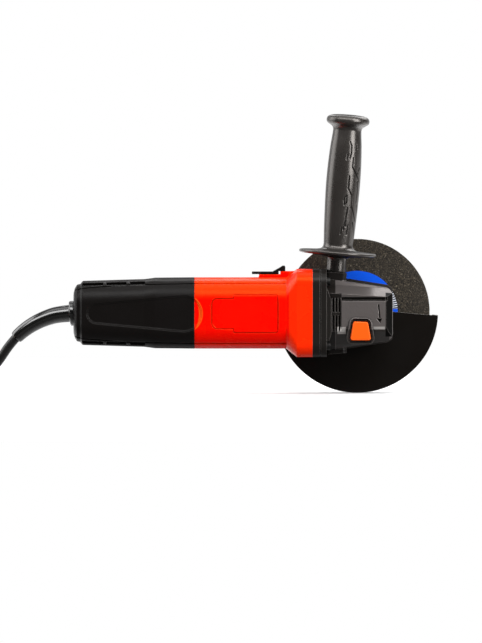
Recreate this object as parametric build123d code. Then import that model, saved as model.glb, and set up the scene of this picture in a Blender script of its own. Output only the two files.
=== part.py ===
"""Corded 125 mm angle grinder with guard, side handle and mains lead.

Everything is drawn about the point where the spindle axis (Y) crosses the motor axis (X):
+X runs forward to the nose, +Y runs down the spindle to the disc, +Z is the side handle's side.
The finished pieces are then set down so that z = 0 is the surface that the tool stands on.
"""
from build123d import *
import os
from math import acos, cos, hypot, pi, radians, sin, tan

os.makedirs("parts", exist_ok=True)

# ------------------------------------------------------------------ driving dimensions (mm)
seat_gap = 0.3                 # between pieces that merely sit against each other
running_fit = 0.05             # radial clearance of a shaft in its hole

# abrasive disc and what clamps it
disc_diameter = 125.0
disc_bore = 22.23
disc_thickness = 3.0
label_diameter = 70.0
label_thickness = 0.3
spindle_thread = 14.0
flange_diameter = 42.0
flange_thickness = 3.5
nut_diameter = 38.0
nut_thickness = 7.0
thread_end_beyond_nut = 5.0
thread_groove_width = 0.8      # relief round the thread at the nut's face
thread_groove_depth = 0.3
pin_wrench_hole = 5.0
pin_wrench_spacing = 30.0

# bevel gear pair
tooth_module = 1.2
pinion_teeth = 10
crown_teeth = 31
pressure_angle = 25.0
tooth_face_width = 5.2
addendum_in_modules = 0.8
dedendum_in_modules = 1.0
tooth_backlash = 0.18
crown_web_thickness = 5.0
crown_hub_radius = 7.6

# spindle and its bearings, stations along the spindle from the motor axis
spindle_top_radius = 4.0
spindle_seat_radius = 6.0
spindle_collar_radius = 8.5
needle_bearing_outer = 6.0
needle_bearing_length = 10.0
ball_bearing_outer = 16.0
ball_bearing_width = 10.0
ball_radius = 2.9
ball_count = 7
crown_back_station = 14.0
disc_seat_station = 45.7       # face of the inner flange that the disc is clamped to

# gear case
case_top_station = -34.0       # flat top face, where the lock button sits
case_foot_station = 16.0       # face that the bearing cover closes
nose_length = 29.7             # spindle axis to the front of the nose
cover_overhang = 2.2           # bearing cover beyond the plan of the nose
flange_height = 74.4           # motor end flange
flange_width = 70.0
flange_corner = 12.0
flange_rear = -38.7
flange_front = -26.7
flange_groove_x = -32.4
flange_groove_width = 0.9
flange_groove_depth = 0.7
pad_front = -22.8              # front of the wavy pad on the flange
flange_screw_y = 26.5
flange_screw_z = 27.5
flange_screw_shank = 2.0
flange_screw_head = 3.6
cover_plate_thickness = 6.0
guard_collar_radius = 20.5
guard_collar_length = 15.0
cover_screw_offset = 17.0
cover_screw_shank = 1.9
cover_screw_head = 3.3

# motor housing and rear cover
body_height = 60.4
body_width = 62.0
body_corner = 20.0
housing_wall_bore = 27.25      # radius of the bore that holds the stator
housing_rear = -139.4          # seam between motor housing and rear cover
flare_start = -61.0
collar_start = -52.0
collar_bore = 30.5
rear_end = -242.6
rear_wall = 2.6
rear_tail = 8.0                # stepped, rounded end of the handle
# shares of the rounded end and how much narrower the form is there
rear_tail_profile = [(0.10, 0.8), (0.30, 5.0), (0.66, 6.6), (0.875, 12.2), (1.0, 20.4)]
rear_end_height = 54.4
rear_end_width = 57.0
rear_shoulder_rear = 60.6      # from the rear end to the shoulder where the vents stop
rear_shoulder_front = 69.6
rear_post_radius = 3.6
rear_post_inset = 16.6         # rear screws from the rear end
front_post_inset = 25.6        # front screw from the seam
rear_post_height = 17.5
front_post_height = 19.5
vent_width = 4.4
vent_turn = 38.5               # degrees between the body's upright and the row of vents
vent_stations = [(7.6, 25.4), (28.2, 45.2), (48.4, 61.1)]    # from the rear end
recess_depth = 0.9             # finger recess along both sides
recess_rear_radius = 7.6
recess_front_half = 14.4
recess_inset = 20.2            # its round rear end from the rear end of the cover
recess_edge = 1.2              # width of the recess's softened edge
panel_groove_width = 0.9       # groove along both edges of the side panels
panel_groove_depth = 0.6
panel_groove_line = [(-241.0, 19.8), (-234.0, 21.4), (-196.5, 24.4), (-140.0, 25.4), (-60.0, 25.6)]

# motor
stator_radius = 27.0
stator_flat = 24.6
stator_front = -72.0
stator_rear = -116.0
rotor_radius = 17.4
rotor_air_gap = 0.6
rotor_slots = 12
shaft_front_radius = 5.0
shaft_rear_radius = 4.0
front_bearing_outer = 13.0
front_bearing_width = 8.0
rear_bearing_outer = 11.0
rear_bearing_width = 7.0
rear_bearing_front = -146.0
commutator_radius = 11.0
commutator_front = -126.0
commutator_length = 14.0
brush_width = 6.4
brush_depth = 8.0
fan_radius = 26.3
fan_front = -46.0
fan_depth = 13.0
fan_blades = 12

# spindle lock
lock_pin_radius = 1.9
lock_hole_clearance = 0.4
lock_pitch_radius = 10.3
lock_turn = 12.0               # degrees that the lock pin lies off the -Z direction
lock_travel = 4.0
lock_button_height = 4.5       # above the top face of the case
lock_button_gap = 1.4

# slide switch
switch_travel = 7.0
slider_rear = -90.3
slider_front = -61.8
slider_width = 17.0
slider_overhang = 5.7          # knob reaching forward over the rails
slider_top = 40.3
ridge_low = 33.0
ridge_high = 35.6
ridge_width = 24.0
rail_rear = -66.0
rod_width = 8.0
rod_thickness = 1.6
rod_rear = -172.0

# guard
guard_radius = 69.6
guard_sheet = 1.8
guard_plate_station = 37.4
guard_rim_end = 59.5
guard_lip = 3.0
guard_hub_radius = 24.6        # full ring round the collar on the open side
guard_turn = 5.0               # degrees that the cut edge is turned at rest
guard_cut_rise = 2.8           # cut edge above the spindle axis
band_sheet = 1.8
band_station = 26.5
lug_turn = 60.0                # degrees from straight down to the clamp lugs, towards the nose

# side handle
handle_lean = 4.5              # degrees that the handle leans forward
handle_foot_x = -18.4
handle_foot_z = 34.6
stud_radius = 4.0
stud_depth = 13.0
neck_radius = 8.15
neck_length = 14.6
hand_stop_radius = 33.0
hand_stop_thickness = 4.2
grip_length = 103.4
grip_foot_radius = 12.4
grip_waist_radius = 13.9
grip_end_radius = 12.0
knob_radius = 18.3
knob_thickness = 8.6

# mains lead
cord_diameter = 8.0
cord_coil_radius = 52.0
cord_coil_bore = 26.0
cord_coil_layers = 3
sleeve_diameter = 13.6
sleeve_collar_diameter = 21.0
sleeve_collar_thickness = 3.4
plug_pin_radius = 2.4
plug_pin_length = 19.0
plug_pin_spacing = 19.0
plug_width = 35.0
plug_thickness = 16.5
plug_length = 38.0

# ------------------------------------------------------------------ worked out from those
pitch_radius_pinion = tooth_module * pinion_teeth / 2
pitch_radius_crown = tooth_module * crown_teeth / 2
cone_distance = hypot(pitch_radius_pinion, pitch_radius_crown)
inner_share = 1 - tooth_face_width / cone_distance
floor_level = -guard_radius
label_station = disc_seat_station
disc_station = label_station + label_thickness
nut_station = disc_station + disc_thickness
spindle_end = nut_station + nut_thickness + thread_end_beyond_nut
collar_foot = case_foot_station + cover_plate_thickness
collar_end = collar_foot + guard_collar_length
bearing_front_end = flange_rear + front_bearing_width + 0.2
rear_bearing_rear = rear_bearing_front - rear_bearing_width
crown_web_top = crown_back_station - 2.0 - crown_web_thickness


# ------------------------------------------------------------------ drawing helpers
def along_x(sketch, start, end):
    """Extrude a sketch drawn in (y, z) from x = start to x = end."""
    return extrude(Plane.YZ.offset(start) * sketch, amount=end - start, dir=(1, 0, 0))


def along_y(sketch, start, end):
    """Extrude a sketch drawn in (x, z) from y = start to y = end."""
    return extrude(Plane.XZ.offset(-start) * sketch, amount=end - start, dir=(0, 1, 0))


def outline(*points):
    """Face of a closed outline with straight sides."""
    return make_face(Polyline(*points, close=True))


def on_spindle(*profile):
    """Solid turned about the spindle axis from (radius, station) points."""
    return revolve(outline(*[(radius, station) for radius, station in profile]), Axis.Y)


def on_motor(*profile):
    """Solid turned about the motor axis from (x, radius) points."""
    return revolve(outline(*[(x, radius) for x, radius in profile]), Axis.X)


def spindle_ring(outer, inner, start, end):
    """Plain ring about the spindle axis."""
    return on_spindle((inner, start), (outer, start), (outer, end), (inner, end))


def motor_ring(outer, inner, start, end):
    """Plain ring about the motor axis."""
    return on_motor((start, inner), (start, outer), (end, outer), (end, inner))


def motor_rod(radius, start, end):
    """Plain cylinder on the motor axis."""
    return along_x(Circle(radius), start, end)


def spindle_rod(radius, start, end, x=0.0, z=0.0):
    """Plain cylinder along Y, standing at (x, z)."""
    return along_y(Pos(x, z) * Circle(radius), start, end)


def block(x_from, x_to, y_from, y_to, z_from, z_to):
    """Box between two corners."""
    size = (x_to - x_from, y_to - y_from, z_to - z_from)
    middle = ((x_from + x_to) / 2, (y_from + y_to) / 2, (z_from + z_to) / 2)
    return Pos(*middle) * Box(*size)


def cap_screw(shank_radius, shank_length, head_radius, head_height, key_radius):
    """Screw standing on the origin: shank down -Z, head up +Z with a hexagon socket."""
    shank = Pos(0, 0, -shank_length / 2) * Cylinder(shank_radius, shank_length)
    head = Pos(0, 0, head_height / 2) * Cylinder(head_radius, head_height)
    key = extrude(Pos(0, 0, head_height * 0.45) * RegularPolygon(key_radius, 6), amount=head_height)
    return shank + head - key


def coil_spring(radius, wire_radius, length, turns):
    """Round wire spring standing on the origin along +Z."""
    helix = Helix(pitch=length / turns, height=length, radius=radius)
    section = Plane(origin=helix @ 0, z_dir=helix % 0) * Circle(wire_radius)
    return sweep(section, path=helix)


# ------------------------------------------------------------------ bevel gears
def bevel_tooth(own_pitch_radius, mate_pitch_radius, own_teeth):
    """One straight tooth of a bevel gear on +Z whose cone apex is the origin.

    The tooth's section is that of the equivalent spur gear on the back cone (Tredgold): an
    involute of radius r / cos(cone angle). It shrinks in proportion towards the apex, so every
    flank runs through the apex and rolls on its mate's.
    """
    cone_sin = own_pitch_radius / cone_distance
    cone_cos = mate_pitch_radius / cone_distance
    virtual_radius = own_pitch_radius / cone_cos
    base_radius = virtual_radius * cos(radians(pressure_angle))
    tip = addendum_in_modules * tooth_module
    root = dedendum_in_modules * tooth_module
    half_pitch_thickness = (pi * tooth_module / 2 - tooth_backlash) / 2

    def involute(radius):
        angle = acos(min(1.0, base_radius / radius))
        return tan(angle) - angle

    def half_thickness(height):
        radius = max(virtual_radius + height, base_radius)
        half_angle = half_pitch_thickness / virtual_radius
        half_angle += involute(virtual_radius) - involute(radius)
        return (virtual_radius + height) * sin(half_angle)

    def section(share):
        centre = Vector(cone_sin, 0, cone_cos) * (cone_distance * share)
        plane = Plane(origin=centre, x_dir=(0, 1, 0), z_dir=(-cone_sin, 0, -cone_cos))
        flank_foot = max(base_radius - virtual_radius, -root)
        heights = [flank_foot, (flank_foot + tip) / 2, tip]
        right = [(half_thickness(h) * share, h * share) for h in heights]
        left = [(-u, v) for u, v in reversed(right)]
        buried = (half_thickness(-root) * share, -(root + 0.35) * share)
        sides = [
            ThreePointArc(*right),
            Line(right[2], left[0]),
            ThreePointArc(*left),
            Polyline(left[2], (-buried[0], buried[1]), buried, right[0]),
        ]
        return plane * make_face(Curve() + sides)

    return loft([section(1.0), section(inner_share)], ruled=True)


def cone_point(own_pitch_radius, mate_pitch_radius, height, share):
    """(radius, station) of a point at a height over the pitch cone, at a share of its length."""
    cone_sin = own_pitch_radius / cone_distance
    cone_cos = mate_pitch_radius / cone_distance
    radius = (own_pitch_radius + height * cone_cos) * share
    station = (mate_pitch_radius - height * cone_sin) * share
    return radius, station


def crown_gear():
    """Large bevel gear on the spindle, teeth up towards the pinion, with the lock holes."""
    root = dedendum_in_modules * tooth_module
    rim_radius, rim_station = cone_point(pitch_radius_crown, pitch_radius_pinion, -root, 1.0)
    web_radius, web_station = cone_point(pitch_radius_crown, pitch_radius_pinion, -root, inner_share)
    blank = on_spindle(
        (spindle_seat_radius, 4.2), (crown_hub_radius, 4.2), (crown_hub_radius, crown_web_top),
        (web_radius - 0.6, crown_web_top), (web_radius, web_station), (rim_radius, rim_station),
        (rim_radius + 1.0, rim_station + 3.2), (rim_radius + 1.0, crown_back_station - 2.0),
        (10.0, crown_back_station - 2.0), (10.0, crown_back_station),
        (spindle_seat_radius, crown_back_station))
    tooth = bevel_tooth(pitch_radius_crown, pitch_radius_pinion, crown_teeth)
    facing = Plane(origin=(0, 0, 0), x_dir=(-1, 0, 0), z_dir=(0, 1, 0))
    step = 360 / crown_teeth
    teeth = [facing * Rot(0, 0, (index + 0.5) * step) * tooth for index in range(crown_teeth)]
    hole = spindle_rod(lock_pin_radius + lock_hole_clearance, crown_web_top - 1,
                       crown_back_station, *lock_pin_place())
    holes = [Rot(0, quarter * 90, 0) * hole for quarter in range(4)]
    return blank + teeth - holes


def pinion_gear():
    """Small bevel gear on the front of the rotor shaft."""
    root = dedendum_in_modules * tooth_module
    rim_radius, rim_x = cone_point(pitch_radius_pinion, pitch_radius_crown, -root, 1.0)
    front_radius, front_x = cone_point(pitch_radius_pinion, pitch_radius_crown, -root, inner_share)
    bore = 2.6
    blank = on_motor((-front_x, bore), (-front_x, front_radius), (-rim_x, rim_radius),
                     (-rim_x - 1.0, rim_radius + 0.6), (-rim_x - 5.0, rim_radius + 0.6),
                     (-rim_x - 5.0, bore))
    tooth = bevel_tooth(pitch_radius_pinion, pitch_radius_crown, pinion_teeth)
    facing = Plane(origin=(0, 0, 0), x_dir=(0, 1, 0), z_dir=(-1, 0, 0))
    step = 360 / pinion_teeth
    teeth = [facing * Rot(0, 0, index * step) * tooth for index in range(pinion_teeth)]
    return blank + teeth


def lock_pin_place():
    """(x, z) of the lock pin and of the crown hole under it."""
    return (lock_pitch_radius * sin(radians(lock_turn)),
            -lock_pitch_radius * cos(radians(lock_turn)))


# ------------------------------------------------------------------ spindle group
def spindle():
    """Stepped spindle: needle bearing end, gear seat, collar for the inner flange, thread."""
    thread = spindle_thread / 2
    nut_face = nut_station + nut_thickness
    return on_spindle(
        (0, case_top_station + 5.0), (spindle_top_radius - 0.5, case_top_station + 5.0),
        (spindle_top_radius, case_top_station + 5.5), (spindle_top_radius, -18.0),
        (spindle_seat_radius - 0.5, -18.0), (spindle_seat_radius - 0.5, 3.2),
        (spindle_seat_radius - 1.0, 3.2), (spindle_seat_radius - 1.0, 4.2),
        (spindle_seat_radius, 4.2), (spindle_seat_radius, crown_back_station + ball_bearing_width + 1),
        (spindle_collar_radius, crown_back_station + ball_bearing_width + 1),
        (spindle_collar_radius, flange_foot()), (thread, flange_foot()),
        (thread, nut_face), (thread - thread_groove_depth, nut_face),
        (thread - thread_groove_depth, nut_face + thread_groove_width),
        (thread, nut_face + thread_groove_width), (thread, spindle_end - 0.8),
        (thread - 0.8, spindle_end),
        (0, spindle_end))


def flange_foot():
    """Station where the inner flange stands on the collar of the spindle."""
    return disc_seat_station - flange_thickness - 2.0


def gear_circlip():
    """Spring ring in the spindle's groove that holds the crown gear."""
    ring = spindle_ring(spindle_seat_radius + 1.2, spindle_seat_radius - 0.9, 3.25, 4.15)
    return ring - block(4.0, 9.0, 3.0, 5.0, -1.5, 1.5)


def spindle_bearing_inner():
    """Inner race of the deep-groove ball bearing."""
    start = crown_back_station
    end = start + ball_bearing_width
    race = spindle_ring(8.6, spindle_seat_radius, start, end)
    return race - on_spindle_torus(start + ball_bearing_width / 2)


def spindle_bearing_outer():
    """Outer race of the deep-groove ball bearing, seated in the bearing cover."""
    start = crown_back_station
    end = start + ball_bearing_width
    race = spindle_ring(ball_bearing_outer, 13.3, start, end)
    return race - on_spindle_torus(start + ball_bearing_width / 2)


def ball_track_radius():
    """Radius of the circle that the ball centres lie on."""
    return (8.6 + 13.3) / 2


def on_spindle_torus(station):
    """Groove that the balls roll in, a little larger than a ball."""
    plane = Plane(origin=(0, station, 0), z_dir=(0, 1, 0))
    return plane * Torus(ball_track_radius(), ball_radius + 0.05)


def spindle_bearing_balls():
    """Seven loose balls between the two races."""
    station = crown_back_station + ball_bearing_width / 2
    ball = Pos(ball_track_radius(), station, 0) * Sphere(ball_radius)
    return [Rot(0, index * 360 / ball_count, 0) * ball for index in range(ball_count)]


def inner_flange():
    """Backing flange: hub on the spindle's collar, face to the disc, pilot in the disc's bore."""
    bore = spindle_thread / 2 + running_fit
    radius = flange_diameter / 2
    rim_foot = disc_seat_station - flange_thickness
    return on_spindle(
        (bore, flange_foot()), (12.0, flange_foot()), (12.0, rim_foot), (radius - 1.0, rim_foot),
        (radius, rim_foot + 1.0), (radius, disc_seat_station),
        (disc_bore / 2 - 0.06, disc_seat_station), (disc_bore / 2 - 0.06, nut_station - 0.6),
        (bore, nut_station - 0.6))


def grinding_disc():
    """Flat bonded abrasive disc."""
    return spindle_ring(disc_diameter / 2, disc_bore / 2, disc_station, nut_station)


def disc_label():
    """Paper blotter bonded to the disc under the inner flange."""
    return spindle_ring(label_diameter / 2, disc_bore / 2, label_station, disc_station)


def flange_nut():
    """Round clamping nut with a thin wide flange and four pin-wrench holes."""
    rim = 2.5
    nut = on_spindle(
        (spindle_thread / 2, nut_station), (nut_diameter / 2, nut_station),
        (nut_diameter / 2, nut_station + rim - 0.8), (nut_diameter / 2 - 0.8, nut_station + rim),
        (nut_diameter / 2 - 1.0, nut_station + nut_thickness - 1.0),
        (nut_diameter / 2 - 2.0, nut_station + nut_thickness),
        (spindle_thread / 2, nut_station + nut_thickness))
    hole = spindle_rod(pin_wrench_hole / 2, nut_station + rim, nut_station + nut_thickness + 1,
                       pin_wrench_spacing / 2, 0)
    return nut - [Rot(0, quarter * 90, 0) * hole for quarter in range(4)]


# ------------------------------------------------------------------ gear case
def nose_outline():
    """Plan of the nose seen along the spindle: it narrows from the flange to a rounded front."""
    top_rear, top_front = 28.5, 20.8
    foot_rear, foot_front = -30.5, -22.8
    face = outline((flange_front - 1, top_rear + 1), (-20.0, top_rear), (nose_length, top_front),
                   (nose_length, foot_front), (-20.0, foot_rear), (flange_front - 1, foot_rear - 1))
    return fillet(face.vertices().filter_by(lambda v: v.X > 0), 7.0)


def nose():
    """Nose of the gear case: flat top face between creased bevels, over the rounded plan."""
    plan = along_y(nose_outline(), case_top_station, case_foot_station)
    foot = [(case_top_station, 10.8), (case_top_station, -11.0), (-31.0, -15.5), (-19.0, -26.5),
            (-10.0, -33.0), (case_foot_station, -33.0), (case_foot_station, 33.0), (-12.0, 33.0)]
    rear = outline(*foot, (-19.0, 25.0), (-32.8, 17.8), (-31.0, 12.6), (-31.4, 11.4))
    front = outline(*foot, (-19.0, 21.2), (-33.0, 14.2), (-32.0, 12.0), (-32.2, 11.3))
    creased = loft([Plane.YZ.offset(flange_front - 1) * rear, Plane.YZ.offset(nose_length) * front],
                   ruled=True)
    body = plan & creased
    front_bevel = outline((23.2, case_top_station - 1), (nose_length + 1, case_top_station - 1),
                          (nose_length + 1, -24.0), (nose_length - 0.6, -27.0))
    bevel = extrude(Pos(0, 0, -40) * front_bevel, amount=80)
    return body - bevel


def case_flange():
    """Square flange towards the motor, thicker in the middle between the corner screws."""
    section = RectangleRounded(flange_width, flange_height, flange_corner)
    plate = along_x(section, flange_rear, flange_front)
    raised = outline((flange_front - 1, 22.5), (flange_front, 22.5), (pad_front, 11.6),
                     (pad_front, -17.4), (flange_front + 2.4, -22.8), (flange_front - 1, -22.8))
    pad = along_y(raised, -flange_width / 2 + 0.4, -20.0)
    inner = RectangleRounded(flange_width - 2 * flange_groove_depth,
                             flange_height - 2 * flange_groove_depth,
                             flange_corner - flange_groove_depth)
    groove = along_x(section - inner, flange_groove_x, flange_groove_x + flange_groove_width)
    return plate + pad - groove


def handle_frame(side):
    """Frame on the handle boss, Z along the handle; side is 1 for the top and -1 for the foot."""
    lean = radians(handle_lean)
    return Plane(origin=(handle_foot_x, 0, side * handle_foot_z),
                 x_dir=(cos(lean), 0, -side * sin(lean)), z_dir=(sin(lean), 0, side * cos(lean)))


def handle_boss(side):
    """Solid pad under the side handle, square to the handle's lean."""
    pad = Pos(0, 0, -11.0) * extrude(RectangleRounded(18.4, 24.0, 4.0), amount=11.0)
    return handle_frame(side) * pad


def handle_socket(side):
    """Threaded hole for the handle's stud."""
    depth = stud_depth + 1.5
    hole = Pos(0, 0, -depth / 2 + 0.5) * Cylinder(stud_radius + running_fit, depth + 1.0)
    return handle_frame(side) * hole


def louvre_windows():
    """Air outlets between flange and top face: two windows, each with slots between ribs."""
    cuts = [block(-22.6, -14.2, -35.0, -30.5, -15.0, 13.2)]
    for z_from, z_to in ((-14.0, -1.6), (1.6, 12.4)):
        for index in range(3):
            x_from = -21.6 + index * 2.5
            cuts.append(block(x_from, x_from + 1.5, -31.0, -23.5, z_from, z_to))
    return cuts


def louvre_ribs():
    """Low ribs standing in the windows, and the bar between the windows."""
    ribs = [block(-22.6, -14.0, -32.6, -30.0, -1.2, 1.2)]
    for index in range(4):
        x_from = -22.6 + index * 2.5
        ribs.append(block(x_from, x_from + 1.0, -32.6, -30.0, -15.2, 13.4))
    return ribs


def button_outline(grow):
    """Trapezoid of the lock button in (x, z), grown by a margin on every side."""
    face = outline((-4.0, -6.4), (8.4, -7.0), (11.2, -22.6), (-6.8, -22.6))
    return offset(fillet(face.vertices(), 2.0), grow) if grow else fillet(face.vertices(), 2.0)


def turn_arrow():
    """Engraved arrow that shows which way the spindle turns."""
    shaft = outline((16.8, 7.9), (18.0, 7.9), (19.2, -3.6), (18.0, -3.6))
    head = outline((15.6, -4.0), (20.4, -4.0), (19.0, -8.2))
    return along_y(shaft + head, case_top_station - 1, case_top_station + 0.5)


def gear_case():
    """Cast gear case with every bore that its bearings, pins and screws need."""
    pin_x, pin_z = lock_pin_place()
    case = case_flange() + nose() + handle_boss(1) + handle_boss(-1)
    rim = along_y(button_outline(lock_button_gap + 1.8), case_top_station - 1.5, -20.0)
    case += rim & along_y(nose_outline(), case_top_station - 1.5, 0)
    case -= louvre_windows()
    case += louvre_ribs()
    case -= turn_arrow()
    case -= along_y(button_outline(lock_button_gap - 0.5), case_top_station - 3, -28.0)
    case -= spindle_rod(4.2, -28.5, -24.5, pin_x, pin_z)
    case -= spindle_rod(lock_pin_radius + running_fit, -29.0, -10.0, pin_x, pin_z)
    case -= spindle_rod(20.6, -14.0, case_foot_station + 1)
    case -= spindle_rod(needle_bearing_outer, case_top_station + 4.5, -18.4)
    case -= spindle_rod(8.0, -18.6, -13.0)
    case -= motor_rod(front_bearing_outer, flange_rear - 1, bearing_front_end)
    case -= motor_rod(10.0, bearing_front_end - 1, -12.0)
    for side in (-1, 1):
        duct_depth = -24.0 if side < 0 else -28.0
        case -= block(flange_rear - 1, duct_depth, min(side * 17.5, side * 30.0),
                      max(side * 17.5, side * 30.0), -14.0, 12.4)
        case -= handle_socket(side)
        for y in (-flange_screw_y, flange_screw_y):
            case -= along_x(Pos(y, side * flange_screw_z) * Circle(flange_screw_shank + 0.3),
                            flange_rear - 1, flange_front + 1)
            case -= along_x(Pos(y, side * flange_screw_z) * Circle(flange_screw_head + 0.5),
                            flange_front, -14.0)
    for x, z in cover_screw_places():
        case -= spindle_rod(cover_screw_shank + running_fit, case_foot_station - 11.0,
                            case_foot_station + 1, x, z)
    case -= block(-24.5, -16.5, 15.0, 19.0, -3.0, 3.0)
    return case


def cover_screw_places():
    """Four corner screws that hold the bearing cover."""
    return [(x, z) for x in (-cover_screw_offset, cover_screw_offset)
            for z in (-cover_screw_offset, cover_screw_offset)]


def gear_case_screws():
    """Four corner screws through the case flange into the motor housing."""
    screw = cap_screw(flange_screw_shank, 24.0, flange_screw_head, 3.2, 2.0)
    facing = Plane(origin=(0, 0, 0), z_dir=(1, 0, 0))
    return [Pos(flange_front, y, z) * (facing * screw)
            for y in (-flange_screw_y, flange_screw_y)
            for z in (-flange_screw_z, flange_screw_z)]


def bearing_cover():
    """Cover under the gear case: bearing pocket, lip, and the round collar of the guard."""
    plan = offset(nose_outline(), cover_overhang) & Pos(4.0, 0) * Rectangle(52.0, 63.0)
    cover = along_y(plan, case_foot_station, collar_foot)
    cover += spindle_rod(guard_collar_radius, collar_foot, collar_end)
    pocket_end = crown_back_station + ball_bearing_width
    cover -= spindle_rod(ball_bearing_outer, case_foot_station - 1, pocket_end)
    cover -= spindle_rod(13.2, pocket_end - 1, pocket_end + 4.0)
    cover -= spindle_rod(spindle_collar_radius + 0.6, pocket_end, collar_end + 1)
    for x, z in cover_screw_places():
        cover -= spindle_rod(cover_screw_shank + 0.2, case_foot_station - 1, collar_foot + 1, x, z)
        cover -= spindle_rod(cover_screw_head + 0.3, collar_foot - 3.4, collar_foot + 1, x, z)
    return cover


def bearing_cover_screws():
    """Four countersunk socket screws flush in the cover."""
    screw = cap_screw(cover_screw_shank, 12.0, cover_screw_head, 3.2, 1.6)
    facing = Plane(origin=(0, 0, 0), z_dir=(0, 1, 0))
    return [Pos(x, collar_foot - 3.4, z) * (facing * screw) for x, z in cover_screw_places()]


def dust_seal():
    """Felt ring between the cover and the spindle's collar."""
    pocket_end = crown_back_station + ball_bearing_width
    return spindle_ring(13.1, spindle_collar_radius + running_fit, pocket_end + 1.2, pocket_end + 4.0)


def needle_bearing():
    """Drawn-cup needle bearing at the blind end of the spindle."""
    return spindle_ring(needle_bearing_outer, spindle_top_radius + 0.03, -28.6,
                        -28.6 + needle_bearing_length)


# ------------------------------------------------------------------ spindle lock
def lock_button():
    """Orange push button with softened edges and a foot over the pin."""
    top = case_top_station - lock_button_height
    cap = along_y(button_outline(0), top, case_top_station + 1.6)
    return chamfer(cap.faces().sort_by(Axis.Y)[0].edges(), 0.7)


def lock_pin():
    """Hardened pin under the button."""
    x, z = lock_pin_place()
    tip = crown_web_top - 1.4
    pin = spindle_rod(lock_pin_radius, case_top_station + 1.6, tip, x, z)
    return chamfer(pin.edges().sort_by(Axis.Y)[-1], 0.5)


def lock_spring():
    """Coil spring that lifts the button."""
    x, z = lock_pin_place()
    start = case_top_station + 1.9
    spring = coil_spring(3.1, 0.35, 6.6, 4)
    return Pos(x, start + 0.4, z) * (Plane(origin=(0, 0, 0), z_dir=(0, 1, 0)) * spring)


# ------------------------------------------------------------------ guard
def guard_half(solid):
    """Keep the half of a ring that the guard covers: below the cut edge, turned at rest."""
    below = Rot(0, guard_turn, 0) * block(-100, 100, 0, 100, -100, guard_cut_rise)
    return solid & below


def guard():
    """Pressed steel guard: half plate, half rim and a lip turned in."""
    plate_end = guard_plate_station + guard_sheet
    plate = guard_half(spindle_ring(guard_radius, guard_collar_radius + 0.1, guard_plate_station,
                                    plate_end))
    hub = spindle_ring(guard_hub_radius, guard_collar_radius + 0.1, guard_plate_station, plate_end)
    rim = guard_half(spindle_ring(guard_radius, guard_radius - guard_sheet, guard_plate_station,
                                  guard_rim_end))
    lip = guard_half(spindle_ring(guard_radius, guard_radius - guard_lip - guard_sheet,
                                  guard_rim_end - guard_sheet, guard_rim_end))
    return plate + hub + rim + lip


def guard_clamp_band():
    """Split steel band welded to the guard, with two lugs for its screw."""
    inner = guard_collar_radius + 0.08
    band = spindle_ring(inner + band_sheet, inner, band_station, guard_plate_station)
    band -= block(-1.5, 1.5, band_station - 1, guard_plate_station + 1, -30, -15)
    for side in (-1, 1):
        band += block(min(side * 1.5, side * 3.7), max(side * 1.5, side * 3.7),
                      band_station, guard_plate_station - 1.5, -31.5, -inner - 0.6)
    hole = along_x(Pos((band_station + guard_plate_station - 1.5) / 2, -27.4) * Circle(2.1), -6, 6)
    return Rot(0, -lug_turn, 0) * (band - hole)


def guard_clamp_screw():
    """Screw with its nut across the lugs of the clamp band."""
    screw = cap_screw(2.0, 12.5, 3.5, 3.4, 1.6)
    nut = Pos(0, 0, -10.8) * (extrude(RegularPolygon(4.0, 6), amount=3.2) - Cylinder(1.95, 20))
    facing = Plane(origin=(0, 0, 0), z_dir=(1, 0, 0))
    y = (band_station + guard_plate_station - 1.5) / 2
    placed = Pos(3.75, y, -27.4) * (facing * (screw + nut))
    return Rot(0, -lug_turn, 0) * placed


# ------------------------------------------------------------------ side handle
def side_handle_grip():
    """Moulded grip: neck, dished hand stop, swelling grip and a wide end knob."""
    stop_foot = neck_length
    stop_top = stop_foot + hand_stop_thickness
    grip_top = stop_top + grip_length
    knob_foot = grip_top + 4.6
    knob_top = knob_foot + knob_thickness
    side = [
        Line((stud_radius, 0), (neck_radius, 0)),
        Line((neck_radius, 0), (neck_radius, stop_foot - 1.5)),
        Line((neck_radius, stop_foot - 1.5), (hand_stop_radius - 0.8, stop_foot + 0.6)),
        ThreePointArc((hand_stop_radius - 0.8, stop_foot + 0.6), (hand_stop_radius, stop_foot + 1.7),
                      (hand_stop_radius - 0.8, stop_foot + 2.8)),
        Line((hand_stop_radius - 0.8, stop_foot + 2.8), (grip_foot_radius + 1.6, stop_top)),
        Line((grip_foot_radius + 1.6, stop_top), (grip_foot_radius, stop_top + 2.4)),
        ThreePointArc((grip_foot_radius, stop_top + 2.4),
                      (grip_waist_radius, stop_top + grip_length * 0.45), (grip_end_radius, grip_top)),
        Line((grip_end_radius, grip_top), (knob_radius - 1.2, knob_foot)),
        ThreePointArc((knob_radius - 1.2, knob_foot), (knob_radius, knob_foot + 2.8),
                      (knob_radius - 1.8, knob_top - 2.0)),
        Spline((knob_radius - 1.8, knob_top - 2.0), (knob_radius - 6.5, knob_top - 0.5),
               (0, knob_top), tangents=[(-1, 0.8), (-1, 0)]),
        Line((0, knob_top), (0, 14.0)),
        Line((0, 14.0), (stud_radius, 14.0)),
        Line((stud_radius, 14.0), (stud_radius, 0)),
    ]
    half = Plane.XZ * make_face(Curve() + side)
    return handle_frame(1) * revolve(half, Axis.Z)


def side_handle_stud():
    """Steel stud moulded into the handle and screwed into the boss."""
    stud = Pos(0, 0, (14.0 - stud_depth) / 2) * Cylinder(stud_radius, 14.0 + stud_depth)
    return handle_frame(1) * chamfer(stud.edges().sort_by(Axis.Z)[0], 0.8)


# ------------------------------------------------------------------ motor housing
def body_section(width, height, corner):
    """Rounded rectangle in (y, z)."""
    return RectangleRounded(width, height, corner)


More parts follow.
